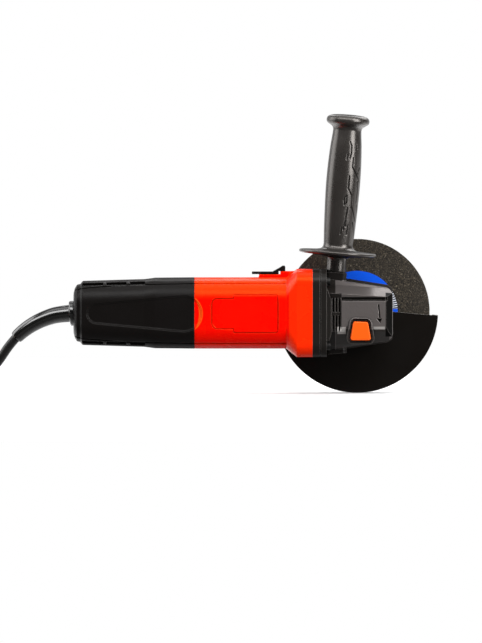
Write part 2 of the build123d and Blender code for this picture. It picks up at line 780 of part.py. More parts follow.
def motor_housing():
    """Red moulded housing: barrel, flared collar, switch ridge and the rear bearing spider."""
    barrel = along_x(body_section(body_width, body_height, body_corner), housing_rear, flare_start)
    flare = loft([Plane.YZ.offset(flare_start) * body_section(body_width, body_height, body_corner),
                  Plane.YZ.offset(collar_start) * body_section(flange_width, flange_height,
                                                               flange_corner)], ruled=True)
    collar = along_x(body_section(flange_width, flange_height, flange_corner),
                     collar_start, flange_rear)
    housing = barrel + flare + collar + switch_ridge()
    housing -= motor_rod(housing_wall_bore, housing_rear - 1, flange_rear + 1)
    housing -= motor_rod(collar_bore, collar_start, flange_rear + 1)
    spigot = motor_ring(housing_wall_bore + 0.15, housing_wall_bore - 2.4, rear_bearing_rear - 3.0,
                        housing_rear + 4.0)
    arms = [Rot(quarter * 90 + 45, 0, 0) * block(rear_bearing_rear - 1.0, rear_bearing_front + 1.0,
                                                 -2.0, 2.0, 14.0, 26.0) for quarter in range(4)]
    hub = motor_ring(15.4, rear_bearing_outer + 1.5, rear_bearing_rear - 1.0, rear_bearing_front + 1.0)
    housing += [spigot, hub]
    housing += arms
    for side in (-1, 1):
        near, far = sorted((side * 12.0, side * (housing_wall_bore - 0.2)))
        housing -= block(brush_station() - brush_depth / 2 - 1.3, brush_station() + brush_depth / 2 + 1.3,
                         near, far, -brush_width / 2 - 1.3, brush_width / 2 + 1.3)
    housing -= block(slider_rear + 4.5, slider_rear + 20.5, -5.2, 5.2, 24.0, 60.0)
    housing -= block(rear_bearing_rear - 4.0, housing_rear + 5.0, -rod_width / 2 - 0.6,
                     rod_width / 2 + 0.6, 24.2, 27.0)
    housing -= block(rear_bearing_rear - 4.0, housing_rear - 0.0, -rod_width / 2 - 0.6,
                     rod_width / 2 + 0.6, 24.2, 29.0)
    for y in (-flange_screw_y, flange_screw_y):
        for z in (-flange_screw_z, flange_screw_z):
            housing -= along_x(Pos(y, z) * Circle(flange_screw_shank + running_fit),
                               collar_start + 0.5, flange_rear + 1)
    barrel_only = block(housing_rear - 1, flare_start, -60, 60, -60, 60)
    housing -= (finger_recess(recess_edge) & barrel_only) - housing_skin(recess_depth / 2)
    housing -= (finger_recess(0) & barrel_only) - housing_skin(recess_depth)
    housing -= (panel_grooves() & barrel_only) - housing_skin(panel_groove_depth)
    housing -= nameplate_recess()
    housing -= block(-46.0, -41.0, -12.0, 12.0, -flange_height / 2 - 1, -flange_height / 2 + 1.6)
    return housing


def switch_ridge():
    """Raised track on the top: low between two rails, so that the slider runs along it."""
    ridge_end = slider_front + switch_travel + 0.5
    low = outline((slider_rear + 4.7, 28.0), (slider_rear + 6.5, ridge_low), (channel_end(), ridge_low),
                  (channel_end(), ridge_high), (ridge_end, ridge_high), (collar_start, flange_height / 2),
                  (collar_start, 28.0))
    track = along_y(low, -ridge_width / 2, ridge_width / 2)
    rail_foot = slider_width / 2 + seat_gap
    for side in (-1, 1):
        inner, outer = sorted((side * rail_foot, side * ridge_width / 2))
        track += block(rail_rear, channel_end() + 1, inner, outer, ridge_low - 1, ridge_high)
    return track


def channel_end():
    """Front end of the channel: the slider's foot stops just short of it."""
    return slider_front - slider_overhang + switch_travel + 0.6


def finger_recess(grow):
    """Prism through both sides over the finger recess, which crosses the seam."""
    rear = rear_end + recess_inset
    rear_round = Pos(rear, 0) * Circle(recess_rear_radius + grow)
    front_bend = Pos(housing_rear - 6.0, 0) * Circle(recess_front_half - 3.0 + grow)
    front_tip = Pos(housing_rear - recess_front_half + 5.4, 0) * Circle(recess_front_half + grow)
    plan = make_hull((rear_round + front_bend + front_tip).edges())
    return through_sides(plan)


def through_sides(plan):
    """Prism through both side faces of the body over a plan in (x, z)."""
    near = along_y(plan, -body_width, -body_width / 4)
    return near + Rot(180, 0, 0) * near


def panel_grooves():
    """Prisms over the grooves that run along both edges of the side panels."""
    line = panel_groove_line
    half = panel_groove_width / 2
    strip = outline(*[(x, z + half) for x, z in line], *[(x, z - half) for x, z in reversed(line)])
    mirrored = outline(*[(x, half - z) for x, z in line], *[(x, -half - z) for x, z in reversed(line)])
    return through_sides(strip + mirrored)


def housing_skin(depth):
    """Barrel of the motor housing inside a skin of the given depth."""
    return along_x(body_section(body_width - 2 * depth, body_height - 2 * depth,
                                body_corner - depth), housing_rear - 1, flare_start)


def nameplate_recess():
    """Shallow bare panel on both sides of the motor housing."""
    plan = outline((-123.0, 12.7), (-109.0, 13.6), (-104.5, 15.8), (-67.6, 15.8), (-67.6, -17.0),
                   (-103.6, -17.0), (-107.0, -14.0), (-121.0, -12.6), (-124.8, -8.0), (-124.8, 8.0))
    cut = along_y(plan, -body_width / 2 - 1, -body_width / 2 + 0.5)
    return [cut, Rot(180, 0, 0) * cut]


# ------------------------------------------------------------------ rear cover
def rear_sections(shrink):
    """Sections of the rear cover from the seam to its end, optionally shrunk by the wall."""
    stations = [
        (housing_rear, body_width, body_height),
        (rear_end + rear_shoulder_front, body_width - 0.4, body_height - 0.6),
        (rear_end + rear_shoulder_rear, body_width - 2.4, body_height - 3.0),
        (rear_end + rear_tail, rear_end_width, rear_end_height),
    ]
    return [(x, width - 2 * shrink, height - 2 * shrink) for x, width, height in stations]


def rear_form(shrink):
    """Solid through the rear sections and the rounded tail, optionally shrunk by the wall."""
    sections = rear_sections(shrink)
    tail = rear_tail - shrink
    corner = body_corner - shrink
    solids = []
    for near, far in zip(sections, sections[1:]):
        solids.append(loft([Plane.YZ.offset(x) * body_section(width, height, corner - 2)
                            for x, width, height in (near, far)], ruled=True))
    x, width, height = sections[-1]
    end = [Plane.YZ.offset(x) * body_section(width, height, corner - 2)]
    for share, narrower in rear_tail_profile:
        end.append(Plane.YZ.offset(x - tail * share)
                   * body_section(width - narrower, height - narrower, corner - 2 - narrower * 0.4))
    for near, far in zip(end, end[1:]):
        solids.append(loft([near, far], ruled=True))
    return solids[0] + solids[1:]


def vent_slots():
    """Air inlets: three slots along each of the four rounded edges."""
    slots = []
    for x_from, x_to in vent_stations:
        for turn in (vent_turn, 180 - vent_turn, 180 + vent_turn, 360 - vent_turn):
            slot = block(rear_end + x_from, rear_end + x_to, -vent_width / 2, vent_width / 2,
                         rear_end_height / 2 - 0.2, body_height)
            slots.append(Rot(turn, 0, 0) * slot)
    return slots


def rear_cover():
    """Whole rear cover before it is parted into its two halves."""
    cover = rear_form(0)
    cover -= rear_form(rear_wall)
    cover -= block(housing_rear - 0.01, housing_rear + 5, -40, 40, -40, 40)
    cover -= vent_slots()
    cover -= motor_rod(cord_diameter / 2 + 0.3, rear_end - 1, rear_end + 12)
    cover -= finger_recess(recess_edge) - rear_form(recess_depth / 2)
    cover -= finger_recess(0) - rear_form(recess_depth)
    cover -= panel_grooves() - rear_form(panel_groove_depth)
    cover += rear_posts()
    return cover


def rear_posts():
    """Screw posts that join the halves, and the seat of the cord clamp."""
    posts = [spindle_rod(rear_post_radius, -body_width, body_width, x, z)
             for x, z in rear_screw_places()]
    seat = block(rear_end + 10.0, rear_end + 20.0, -14.0, 14.0,
                 (rear_wall - rear_end_height) / 2, -cord_diameter / 2 - 0.3)
    return ((posts[0] + posts[1:]) & rear_form(rear_wall / 2)) + seat


def rear_screw_places():
    """(x, z) of the screws that join the halves of the rear cover."""
    rear = rear_end + rear_post_inset
    return [(housing_rear - front_post_inset, -front_post_height), (rear, rear_post_height),
            (rear, -rear_post_height)]


def rear_cover_half(side):
    """One half of the rear cover; side is -1 for the half with the recess seen first."""
    keep = block(rear_end - 2, housing_rear + 2, min(0, side * 60), max(0, side * 60), -60, 60)
    head_seat = rear_head_seat()
    bores = [spindle_rod(1.5, -head_seat, head_seat + 1, x, z) for x, z in rear_screw_places()]
    heads = [spindle_rod(3.0, head_seat, body_width, x, z) for x, z in rear_screw_places()]
    return (rear_cover() & keep) - bores - heads - clamp_screw_holes()


def rear_head_seat():
    """Station that the heads of the rear cover's screws seat on."""
    return rear_end_width / 2 - 7.5


def rear_cover_screws():
    """Three self-tapping screws that join the halves."""
    screw = cap_screw(1.45, rear_head_seat() * 2 - 1.0, 2.8, 2.2, 1.3)
    facing = Plane(origin=(0, 0, 0), z_dir=(0, 1, 0))
    return [Pos(x, rear_head_seat(), z) * (facing * screw) for x, z in rear_screw_places()]


# ------------------------------------------------------------------ motor
def rotor_shaft():
    """Stepped motor shaft with the pinion's seat and thread at the front."""
    rim_x = cone_point(pitch_radius_pinion, pitch_radius_crown, 0, 1.0)[1]
    return on_motor(
        (rear_bearing_rear - 1.0, 0), (rear_bearing_rear - 1.0, shaft_rear_radius),
        (rear_bearing_front + 0.5, shaft_rear_radius), (rear_bearing_front + 0.5, 5.0),
        (stator_rear - 4, 5.0), (stator_rear - 4, 6.0), (fan_front, 6.0),
        (fan_front, shaft_front_radius), (-rim_x - 5.5, shaft_front_radius), (-rim_x - 5.5, 2.6),
        (-9.6, 2.6), (-9.6, 0))


def rotor_core():
    """Stack of laminations with open slots."""
    disc = Circle(rotor_radius) - Circle(6.0)
    slot = Pos(0, rotor_radius - 3.6) * Rectangle(2.6, 8.0)
    slots = [Rot(0, 0, index * 360 / rotor_slots) * slot for index in range(rotor_slots)]
    return along_x(disc - slots, stator_rear, stator_front)


def rotor_windings():
    """Copper in the slots, joined by the end turns on both sides of the stack."""
    bar = Pos(0, rotor_radius - 4.0) * Rectangle(2.4, 6.6)
    bars = [Rot(0, 0, index * 360 / rotor_slots) * bar for index in range(rotor_slots)]
    copper = along_x(bars[0] + bars[1:], stator_rear - 0.5, stator_front + 0.5)
    front = on_motor((stator_front + 0.2, 6.2), (stator_front + 0.2, 16.6),
                     (stator_front + 4.0, 15.6), (stator_front + 6.5, 11.0), (stator_front + 6.5, 6.2))
    rear = on_motor((stator_rear - 0.2, 6.2), (stator_rear - 0.2, 16.6),
                    (stator_rear - 4.0, 15.6), (stator_rear - 7.5, 11.0), (stator_rear - 7.5, 6.2))
    return copper + front + rear


def commutator():
    """Copper commutator with its insulating grooves."""
    rear = commutator_front - commutator_length
    ring = motor_ring(commutator_radius, 5.0, rear, commutator_front)
    grooves = [Rot(index * 15 + 7.5, 0, 0) * block(rear + 1.0, commutator_front + 1, -0.3, 0.3,
                                                   commutator_radius - 0.8, commutator_radius + 1)
               for index in range(24)]
    return ring - grooves


def cooling_fan():
    """Radial fan: back plate, hub and curved blades."""
    plate = motor_ring(fan_radius, 6.05, fan_front - 2.0, fan_front)
    hub = motor_ring(9.5, 6.05, fan_front - fan_depth, fan_front)
    arc = ThreePointArc((0, 9.0), (2.6, 17.5), (0.6, fan_radius - 0.4))
    blade = along_x(thicken_arc(arc, 1.1), fan_front - fan_depth, fan_front - 1.5)
    blades = [Rot(index * 360 / fan_blades, 0, 0) * blade for index in range(fan_blades)]
    return plate + hub + blades


def thicken_arc(arc, thickness):
    """Thin curved strip along an arc, for a blade."""
    start, middle, end = arc @ 0, arc @ 0.5, arc @ 1
    shift = Vector(thickness, 0, 0)
    far = ThreePointArc(start + shift, middle + shift, end + shift)
    return make_face(Curve() + [arc, Line(end, end + shift), far, Line(start + shift, start)])


def pinion_nut():
    """Hexagon nut that holds the pinion."""
    front = cone_point(pitch_radius_pinion, pitch_radius_crown, 0, inner_share)[1]
    nut = RegularPolygon(4.2, 6) - Circle(2.6)
    return along_x(nut, -front + 0.6, -front + 3.4)


def sealed_bearing(front, width, bore, outer):
    """(outer ring with its seals, inner ring) of a sealed ball bearing on the motor axis."""
    inner_land = bore + 2.0
    outer_ring = motor_ring(outer, inner_land + 0.3, front - width, front)
    inner_ring = motor_ring(inner_land, bore, front - width, front)
    return outer_ring, inner_ring


def bearing_boot():
    """Rubber cup round the rear bearing."""
    return motor_ring(rear_bearing_outer + 1.5, rear_bearing_outer, rear_bearing_rear - 0.5,
                      rear_bearing_front + 0.5)


def bearing_retainer():
    """Steel plate that keeps the front bearing in the gear case."""
    plate = motor_ring(19.0, 8.2, flange_rear - 1.8, flange_rear)
    return plate - [along_x(Pos(side * 16.0, 0) * Circle(1.6), flange_rear - 3, flange_rear + 1)
                    for side in (-1, 1)]


def retainer_screws():
    """Two pan-head screws of the retainer."""
    screws = []
    for side in (-1, 1):
        head = along_x(Pos(side * 16.0, 0) * Circle(2.6), flange_rear - 3.4, flange_rear - 1.8)
        shank = along_x(Pos(side * 16.0, 0) * Circle(1.45), flange_rear - 1.8, flange_rear + 0.0)
        screws.append(head + shank)
    return screws


def field_sector(outer, inner, half_angle, middle_angle):
    """Ring sector in (y, z) about the motor axis."""
    ring = Circle(outer) - Circle(inner)
    reach = outer * 3
    rise = reach * tan(radians(half_angle))
    wedge = outline((0, 0), (reach, -rise), (reach, rise))
    return ring & (Rot(0, 0, middle_angle) * wedge)


def stator_core():
    """Field stack with flats, two poles and the windows of its coils."""
    bore = rotor_radius + rotor_air_gap
    flats = Rectangle(80, 2 * stator_flat)
    section = (Circle(stator_radius) & flats) - Circle(bore)
    for middle in (0, 180):
        section -= field_sector(23.2, bore - 1, 31, middle)
    return along_x(section, stator_rear, stator_front)


def stator_coils():
    """Two saddle coils, one over each pole."""
    inner = rotor_radius + rotor_air_gap + 0.4
    overhang = 5.0
    coils = []
    for middle in (90, -90):
        arch = field_sector(22.9, inner, 44.5, middle - 44) + field_sector(22.9, inner, 44.5, middle + 44)
        saddle = along_x(arch, stator_rear - overhang, stator_front + overhang)
        pole = along_x(field_sector(30, inner - 1, 60, middle), stator_rear - 0.3,
                       stator_front + 0.3)
        coils.append(saddle - pole)
    return coils


def fan_baffle():
    """Ring that leads the air from the field to the fan."""
    return on_motor((stator_front + 5.6, 21.0), (stator_front + 5.6, housing_wall_bore - seat_gap),
                    (stator_front + 10.0, housing_wall_bore - seat_gap),
                    (stator_front + 10.0, 25.4), (stator_front + 7.4, 24.0), (stator_front + 7.4, 21.0))


def brush_station():
    """Middle of the brushes along the motor axis."""
    return commutator_front - commutator_length / 2


def brush_holders():
    """Brass guides of the two carbon brushes."""
    x = brush_station()
    holders = []
    for side in (-1, 1):
        guide = Pos(x, side * 19.6, 0) * (Box(brush_depth + 1.8, 14.4, brush_width + 1.8)
                                          - Box(brush_depth + 0.1, 16.0, brush_width + 0.1))
        holders.append(guide)
    return holders


def carbon_brushes():
    """Two carbon brushes bearing on the commutator."""
    x = brush_station()
    reach = commutator_radius + running_fit
    brushes = []
    for side in (-1, 1):
        brush = Pos(x, side * 16.5, 0) * Box(brush_depth, 11.0, brush_width)
        brushes.append(brush - motor_rod(reach, x - 10, x + 10))
    return brushes


def brush_springs():
    """Coil springs behind the brushes."""
    facing = Plane(origin=(0, 0, 0), z_dir=(0, 1, 0))
    spring = facing * coil_spring(2.3, 0.35, 3.4, 3)
    placed = Pos(brush_station(), 22.5, 0) * spring
    return [placed, Rot(180, 0, 0) * placed]


# ------------------------------------------------------------------ slide switch
def switch_slider():
    """Thumb slider: thin plate, ramp and knob on top, stem down to the rod."""
    foot = ridge_low + seat_gap
    plate_top = foot + 2.0
    step = slider_front - slider_overhang
    side = outline((slider_rear, foot), (step, foot), (step, ridge_high + seat_gap),
                   (slider_front, ridge_high + seat_gap), (slider_front, slider_top - 0.8),
                   (slider_front - 0.6, slider_top), (slider_front - 2.6, slider_top),
                   (slider_front - 4.2, slider_top - 1.2), (slider_front - 11.0, plate_top),
                   (slider_rear, plate_top))
    slider = along_y(side, -slider_width / 2, slider_width / 2)
    stem = block(slider_rear + 6.0, slider_rear + 12.0, -4.0, 4.0, rod_top(), ridge_low + 1.0)
    return slider + stem


def rod_top():
    """Top of the switch rod, under the slider's stem."""
    return stator_flat + seat_gap + rod_thickness


def switch_rod():
    """Flat rod that carries the slider's travel back to the switch, with its hooked end."""
    rod = block(rod_rear, slider_rear + 14.0, -rod_width / 2, rod_width / 2,
                stator_flat + seat_gap, rod_top())
    hook = block(rod_rear, rod_rear + 3.0, -rod_width / 2, rod_width / 2, 18.0, stator_flat + 1.0)
    return rod + hook


def switch_body():
    """Mains switch in the rear cover, with the slot that the rod's hook moves in."""
    body = block(-190.0, -160.0, -9.0, 9.0, -6.0, 22.0)
    slot = block(rod_rear - 1.5, rod_rear + 3.0 + switch_travel + 1.0, -rod_width / 2 - 0.8,
                 rod_width / 2 + 0.8, 17.0, 23.0)
    foot = block(-188.0, -174.0, -9.0, 9.0, -25.4, -6.0)
    return body + foot - slot


def inner_wires():
    """Leads from the switch to the brushes."""
    wires = []
    for side in (-1, 1):
        path = FilletPolyline((-164.0, side * 9.9, 0.0), (-158.0, side * 16.0, 0.0),
                              (-146.0, side * 20.0, 0.0), (-138.2, side * 20.0, 0.0), radius=5.0)
        section = Plane(origin=path @ 0, z_dir=path % 0) * Circle(0.9)
        wires.append(sweep(section, path=path))
    return wires


# ------------------------------------------------------------------ mains lead
def cord_points():
    """Middle line of the lead from its clamp to the coil, down to the floor and along it."""
    rest = floor_level + cord_diameter / 2 + 0.1
    return [(-229.0, 0, 0), (-252.0, 0, 0), (-270.0, 0.4, -5.4), (-285.5, 1.4, -14.6),
            (-297.5, 2.6, -27.0), (-306.5, 3.6, -41.0), (-317.0, 4.0, -53.5),
            (-331.0, 3.2, -62.0), (-346.0, 1.4, rest), (-360.0, -0.2, rest)]


def bend_radii(points):
    """Radius at each inner point: 0.45 of the shorter run over the tangent of half the turn."""
    radii = []
    for before, here, after in zip(points, points[1:], points[2:]):
        run_in = Vector(*here) - Vector(*before)
        run_out = Vector(*after) - Vector(*here)
        half_turn = radians(run_in.get_angle(run_out)) / 2
        radii.append(0.45 * min(run_in.length, run_out.length) / tan(half_turn))
    return radii


def cord_path():
    """Straight runs joined by tangent arcs."""
    points = cord_points()
    return FilletPolyline(*points, radius=bend_radii(points))


def cord_tube():
    """Free stretch of the lead."""
    path = cord_path()
    return sweep(Plane(origin=path @ 0, z_dir=path % 0) * Circle(cord_diameter / 2), path=path)


def strain_relief():
    """Rubber sleeve that bends with the lead where it leaves the rear cover."""
    path = Wire(cord_path().edges()[:6])
    start = Plane(origin=path @ 0, z_dir=path % 0)
    sleeve = sweep(start * Circle(sleeve_diameter / 2), path=path)
    bore = sweep(start * Circle(cord_diameter / 2 + 0.15), path=path)
    collar = motor_rod(sleeve_collar_diameter / 2, rear_end - sleeve_collar_thickness, rear_end)
    outside = block(-400, rear_end, -40, 40, -80, 40)
    return ((sleeve & outside) + collar) - bore - motor_rod(cord_diameter / 2 + 0.15, -250, -229)


def cord_clamp():
    """Bar that grips the lead inside the rear cover."""
    bar = block(rear_end + 11.0, rear_end + 19.0, -13.5, 13.5, cord_diameter / 2 - 1.0,
                cord_diameter / 2 + 3.0)
    bar -= clamp_screw_holes()
    return bar - motor_rod(cord_diameter / 2 + 0.05, rear_end + 5, rear_end + 25)


def clamp_screw_holes():
    """Holes of the clamp's screws through bar and seat."""
    return [Pos(rear_end + 15.0, side * 10.0, 0) * Cylinder(1.45, 16.0) for side in (-1, 1)]


def cord_clamp_screws():
    """Two screws of the cord clamp."""
    screw = cap_screw(1.4, 13.0, 2.6, 1.8, 1.2)
    return [Pos(rear_end + 15.0, side * 10.0, cord_diameter / 2 + 3.0) * screw for side in (-1, 1)]


def coil_centre():
    """Middle of the coil on the floor."""
    return (-371.0, -48.0)


def coil_height():
    """Height of the coil as it lies."""
    return cord_coil_layers * cord_diameter + 0.4


def cord_coil():
    """Outer shape of the coiled length on the floor."""
    ring = Circle(cord_coil_radius) - Circle(cord_coil_bore)
    coil = Pos(*coil_centre(), floor_level) * extrude(ring, amount=coil_height())
    rounded = coil.edges().filter_by(GeomType.CIRCLE)
    return fillet(rounded, 3.2)


def plug_frame():
    """Frame at the cable end of the plug, Z towards its pins, lying on the coil."""
    x, y = coil_centre()
    return Plane(origin=(x + 39.0, y + 5.0, floor_level + coil_height() + plug_thickness / 2),
                 x_dir=(1, 0, 0), z_dir=(0, 1, 0))


def mains_plug():
    """Two-pole moulded plug that narrows to its lead."""
    body = loft([RectangleRounded(14.0, 12.0, 5.0),
                 Pos(0, 0, 12.0) * RectangleRounded(24.0, plug_thickness, 7.0),
                 Pos(0, 0, plug_length) * RectangleRounded(plug_width, plug_thickness, 7.0)],
                ruled=True)
    return plug_frame() * body


def plug_pins():
    """Two round pins."""
    pins = [Pos(side * plug_pin_spacing / 2, 0, plug_length + plug_pin_length / 2)
            * Cylinder(plug_pin_radius, plug_pin_length) for side in (-1, 1)]
    return [plug_frame() * pin for pin in pins]


def cord_tail_points():
    """Middle line of the lead from the plug down into the coil."""
    x, y = coil_centre()
    top = floor_level + coil_height()
    return [(x + 39.0, y + 5.0, top + plug_thickness / 2),
            (x + 39.0, y - 7.0, top + plug_thickness / 2), (x + 34.5, y - 19.5, top + 8.0),
            (x + 25.5, y - 29.5, top + 6.6), (x + 13.0, y - 35.5, top + 5.2),
            (x - 1.5, y - 36.0, top + 4.6), (x - 15.0, y - 30.5, top + 3.0),
            (x - 25.5, y - 20.5, top - 0.8), (x - 30.5, y - 8.0, top - 4.1)]


def cord_tail():
    """Short end of the lead between coil and plug."""
    points = cord_tail_points()
    path = FilletPolyline(*points, radius=bend_radii(points))
    return sweep(Plane(origin=path @ 0, z_dir=path % 0) * Circle(cord_diameter / 2), path=path)


# ------------------------------------------------------------------ the assembly
front_outer, front_inner = sealed_bearing(bearing_front_end - 0.1, front_bearing_width,
                                          shaft_front_radius, front_bearing_outer)
rear_outer, rear_inner = sealed_bearing(rear_bearing_front, rear_bearing_width,
                                        shaft_rear_radius, rear_bearing_outer)

pieces = {
    "motor_housing": motor_housing(),
    "rear_cover_left": rear_cover_half(-1),
    "rear_cover_right": rear_cover_half(1),
    "rear_cover_screws": rear_cover_screws(),
    "gear_case": gear_case(),
    "gear_case_screws": gear_case_screws(),
    "bearing_cover": bearing_cover(),
    "bearing_cover_screws": bearing_cover_screws(),
    "dust_seal": dust_seal(),
    "needle_bearing": needle_bearing(),
    "spindle_bearing_outer": spindle_bearing_outer(),
    "spindle_bearing_balls": spindle_bearing_balls(),
    "spindle_bearing_inner": spindle_bearing_inner(),
    "spindle": spindle(),
    "gear_circlip": gear_circlip(),
    "crown_gear": crown_gear(),
    "inner_flange": inner_flange(),
    "grinding_disc": grinding_disc(),
    "disc_label": disc_label(),
    "flange_nut": flange_nut(),
    "lock_button": lock_button(),
    "lock_pin": lock_pin(),
    "lock_spring": lock_spring(),
    "guard": guard(),
    "guard_clamp_band": guard_clamp_band(),
    "guard_clamp_screw": guard_clamp_screw(),
    "side_handle_grip": side_handle_grip(),
    "side_handle_stud": side_handle_stud(),
    "rotor_shaft": rotor_shaft(),
    "rotor_core": rotor_core(),
    "rotor_windings": rotor_windings(),
    "commutator": commutator(),
    "cooling_fan": cooling_fan(),
    "pinion_gear": pinion_gear(),
    "pinion_nut": pinion_nut(),
    "front_bearing_outer": front_outer,
    "front_bearing_inner": front_inner,
    "rear_bearing_outer": rear_outer,
    "rear_bearing_inner": rear_inner,
    "bearing_boot": bearing_boot(),
    "bearing_retainer": bearing_retainer(),
    "retainer_screws": retainer_screws(),
    "stator_core": stator_core(),
    "stator_coils": stator_coils(),
    "fan_baffle": fan_baffle(),
    "brush_holders": brush_holders(),
    "carbon_brushes": carbon_brushes(),
    "brush_springs": brush_springs(),
    "switch_slider": switch_slider(),
    "switch_rod": switch_rod(),
    "switch_body": switch_body(),
    "inner_wires": inner_wires(),
    "cord_clamp": cord_clamp(),
    "cord_clamp_screws": cord_clamp_screws(),
    "strain_relief": strain_relief(),
    "cord_tube": cord_tube(),
    "cord_coil": cord_coil(),
    "cord_tail": cord_tail(),
    "mains_plug": mains_plug(),
    "plug_pins": plug_pins(),
}

lead_pieces = ["strain_relief", "cord_tube", "cord_coil", "cord_tail", "mains_plug", "plug_pins"]


def solids_of(piece):
    """Every solid of a piece that may be one shape or several."""
    shapes = piece if isinstance(piece, list) else [piece]
    return [solid for shape in shapes for solid in shape.solids()]


def standing_origin():
    """Middle of the underside of the tool, without its lead."""
    solids = [solid for name, piece in pieces.items() if name not in lead_pieces
              for solid in solids_of(piece)]
    box = Compound(solids).bounding_box()
    return Vector(box.center().X, box.center().Y, box.min.Z)


origin = standing_origin()
print("origin in the drawing frame:", [round(value, 4) for value in origin])
print("radii of the lead's arcs:", [round(radius, 1) for radius in bend_radii(cord_points())])
print("radii of the tail's arcs:", [round(radius, 1) for radius in bend_radii(cord_tail_points())])
lead_length = cord_path().length
lead_section = pi * (cord_diameter / 2) ** 2
print("lead: length", round(lead_length, 1), "section times length", round(lead_length * lead_section),
      "volume", round(pieces["cord_tube"].volume))

for name, piece in pieces.items():
    solids = [Pos(-origin.X, -origin.Y, -origin.Z) * solid for solid in solids_of(piece)]
    shape = solids[0] if len(solids) == 1 else Compound(solids)
    export_step(shape, f"parts/{name}.step")
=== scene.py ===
"""Angle grinder: finishes, mains lead, side handle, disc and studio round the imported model.

Lengths are metres in the frame of the CAD. A point written with at(x, y, z) is in millimetres
from where the spindle axis crosses the motor axis: x forward to the nose, y along the spindle
towards the disc, z up the side handle.
"""
import bpy
import math
import numpy as np
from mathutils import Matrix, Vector


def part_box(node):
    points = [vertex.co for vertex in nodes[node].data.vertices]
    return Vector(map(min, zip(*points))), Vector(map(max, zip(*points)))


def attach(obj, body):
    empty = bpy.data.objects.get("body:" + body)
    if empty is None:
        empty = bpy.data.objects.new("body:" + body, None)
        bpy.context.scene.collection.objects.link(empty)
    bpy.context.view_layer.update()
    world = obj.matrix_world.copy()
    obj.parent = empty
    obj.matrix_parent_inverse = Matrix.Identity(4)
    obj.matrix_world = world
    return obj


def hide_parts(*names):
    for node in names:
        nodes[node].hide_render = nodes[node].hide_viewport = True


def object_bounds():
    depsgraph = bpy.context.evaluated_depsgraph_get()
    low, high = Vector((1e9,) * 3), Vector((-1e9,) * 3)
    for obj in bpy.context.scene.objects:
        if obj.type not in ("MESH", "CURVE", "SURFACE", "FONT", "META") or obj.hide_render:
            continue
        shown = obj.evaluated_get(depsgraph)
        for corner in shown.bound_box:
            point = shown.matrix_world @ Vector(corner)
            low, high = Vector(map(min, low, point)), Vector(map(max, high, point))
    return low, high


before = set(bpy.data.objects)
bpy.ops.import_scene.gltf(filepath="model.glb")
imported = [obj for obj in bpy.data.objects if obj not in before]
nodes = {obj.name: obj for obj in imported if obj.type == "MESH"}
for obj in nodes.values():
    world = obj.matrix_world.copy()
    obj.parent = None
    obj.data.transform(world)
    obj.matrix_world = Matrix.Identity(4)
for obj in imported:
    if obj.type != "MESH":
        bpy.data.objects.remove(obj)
cad_low, cad_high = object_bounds()

# ------------------------------------------------------------------ places taken from the CAD
disc_low, disc_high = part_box("grinding_disc")
rotor_low, rotor_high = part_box("rotor_core")
axes_cross = np.array([(disc_low.x + disc_high.x) / 2, (rotor_low.y + rotor_high.y) / 2,
                       (disc_low.z + disc_high.z) / 2])
floor_z = cad_low.z
MM = 0.001


def at(x, y, z):
    """Points in millimetres from the crossing of the two axes, as metres in the CAD's frame."""
    return axes_cross + MM * np.stack(np.broadcast_arrays(x, y, z), axis=-1)


# ------------------------------------------------------------------ objects of the scene
def add_object(name, data):
    """A new object of the scene that shows a mesh, curve, lamp or camera."""
    thing = bpy.data.objects.new(name, data)
    bpy.context.scene.collection.objects.link(thing)
    return thing


def aim_at(thing, place, target):
    """Stand a camera or lamp at a place, turned to a target."""
    thing.location = place
    thing.rotation_euler = (Vector(target) - Vector(place)).to_track_quat("-Z", "Y").to_euler()


# ------------------------------------------------------------------ camera
camera_place, camera_target = (-0.0012, -7.963, 0.262), (-0.0132, 0.0367, 0.0610)
camera_lens, camera_reach = 520.9, 40.0


def add_camera():
    """Long lens far off, slightly above the tool, facing the gear case's flat top face."""
    data = bpy.data.cameras.new("camera")
    data.lens = camera_lens
    data.clip_end = camera_reach
    camera = add_object("camera", data)
    aim_at(camera, camera_place, camera_target)
    bpy.context.scene.camera = camera


add_camera()


# ------------------------------------------------------------------ node helpers
def empty_material(name):
    """A new material and its tree, with no node in it."""
    material = bpy.data.materials.new(name)
    material.use_nodes = True
    material.node_tree.nodes.clear()
    return material, material.node_tree


def show(tree, shader, kind="ShaderNodeOutputMaterial"):
    """Link a shader to the output of its material or world."""
    output = tree.nodes.new(kind)
    tree.links.new(shader.outputs[0], output.inputs["Surface"])


def principled_material(name):
    """A new material, its tree and the Principled shader that it shows."""
    material, tree = empty_material(name)
    shader = tree.nodes.new("ShaderNodeBsdfPrincipled")
    show(tree, shader)
    return material, tree, shader


def add(tree, kind, inputs=(), **settings):
    """A node of a kind with its settings; an input is a value or the socket that feeds it."""
    node = tree.nodes.new(kind)
    for key, value in settings.items():
        setattr(node, key, value)
    for name, value in dict(inputs).items():
        if isinstance(value, bpy.types.NodeSocket):
            tree.links.new(value, node.inputs[name])
        else:
            node.inputs[name].default_value = value
    return node


def calc(tree, operation, a, b=0.0, c=0.0, clamp=False):
    """Output of a Math node."""
    node = add(tree, "ShaderNodeMath", {0: a, 1: b, 2: c}, operation=operation, use_clamp=clamp)
    return node.outputs[0]


def vector_calc(tree, operation, a, b=(0.0, 0.0, 0.0)):
    """Output of a Vector Math node: a value for a length or a dot product, or else a vector."""
    node = add(tree, "ShaderNodeVectorMath", {0: a, 1: b}, operation=operation)
    return node.outputs["Value" if operation in ("LENGTH", "DOT_PRODUCT") else "Vector"]


def object_place(tree):
    """Place of a point in the CAD's frame, in metres."""
    return add(tree, "ShaderNodeTexCoord").outputs["Object"]


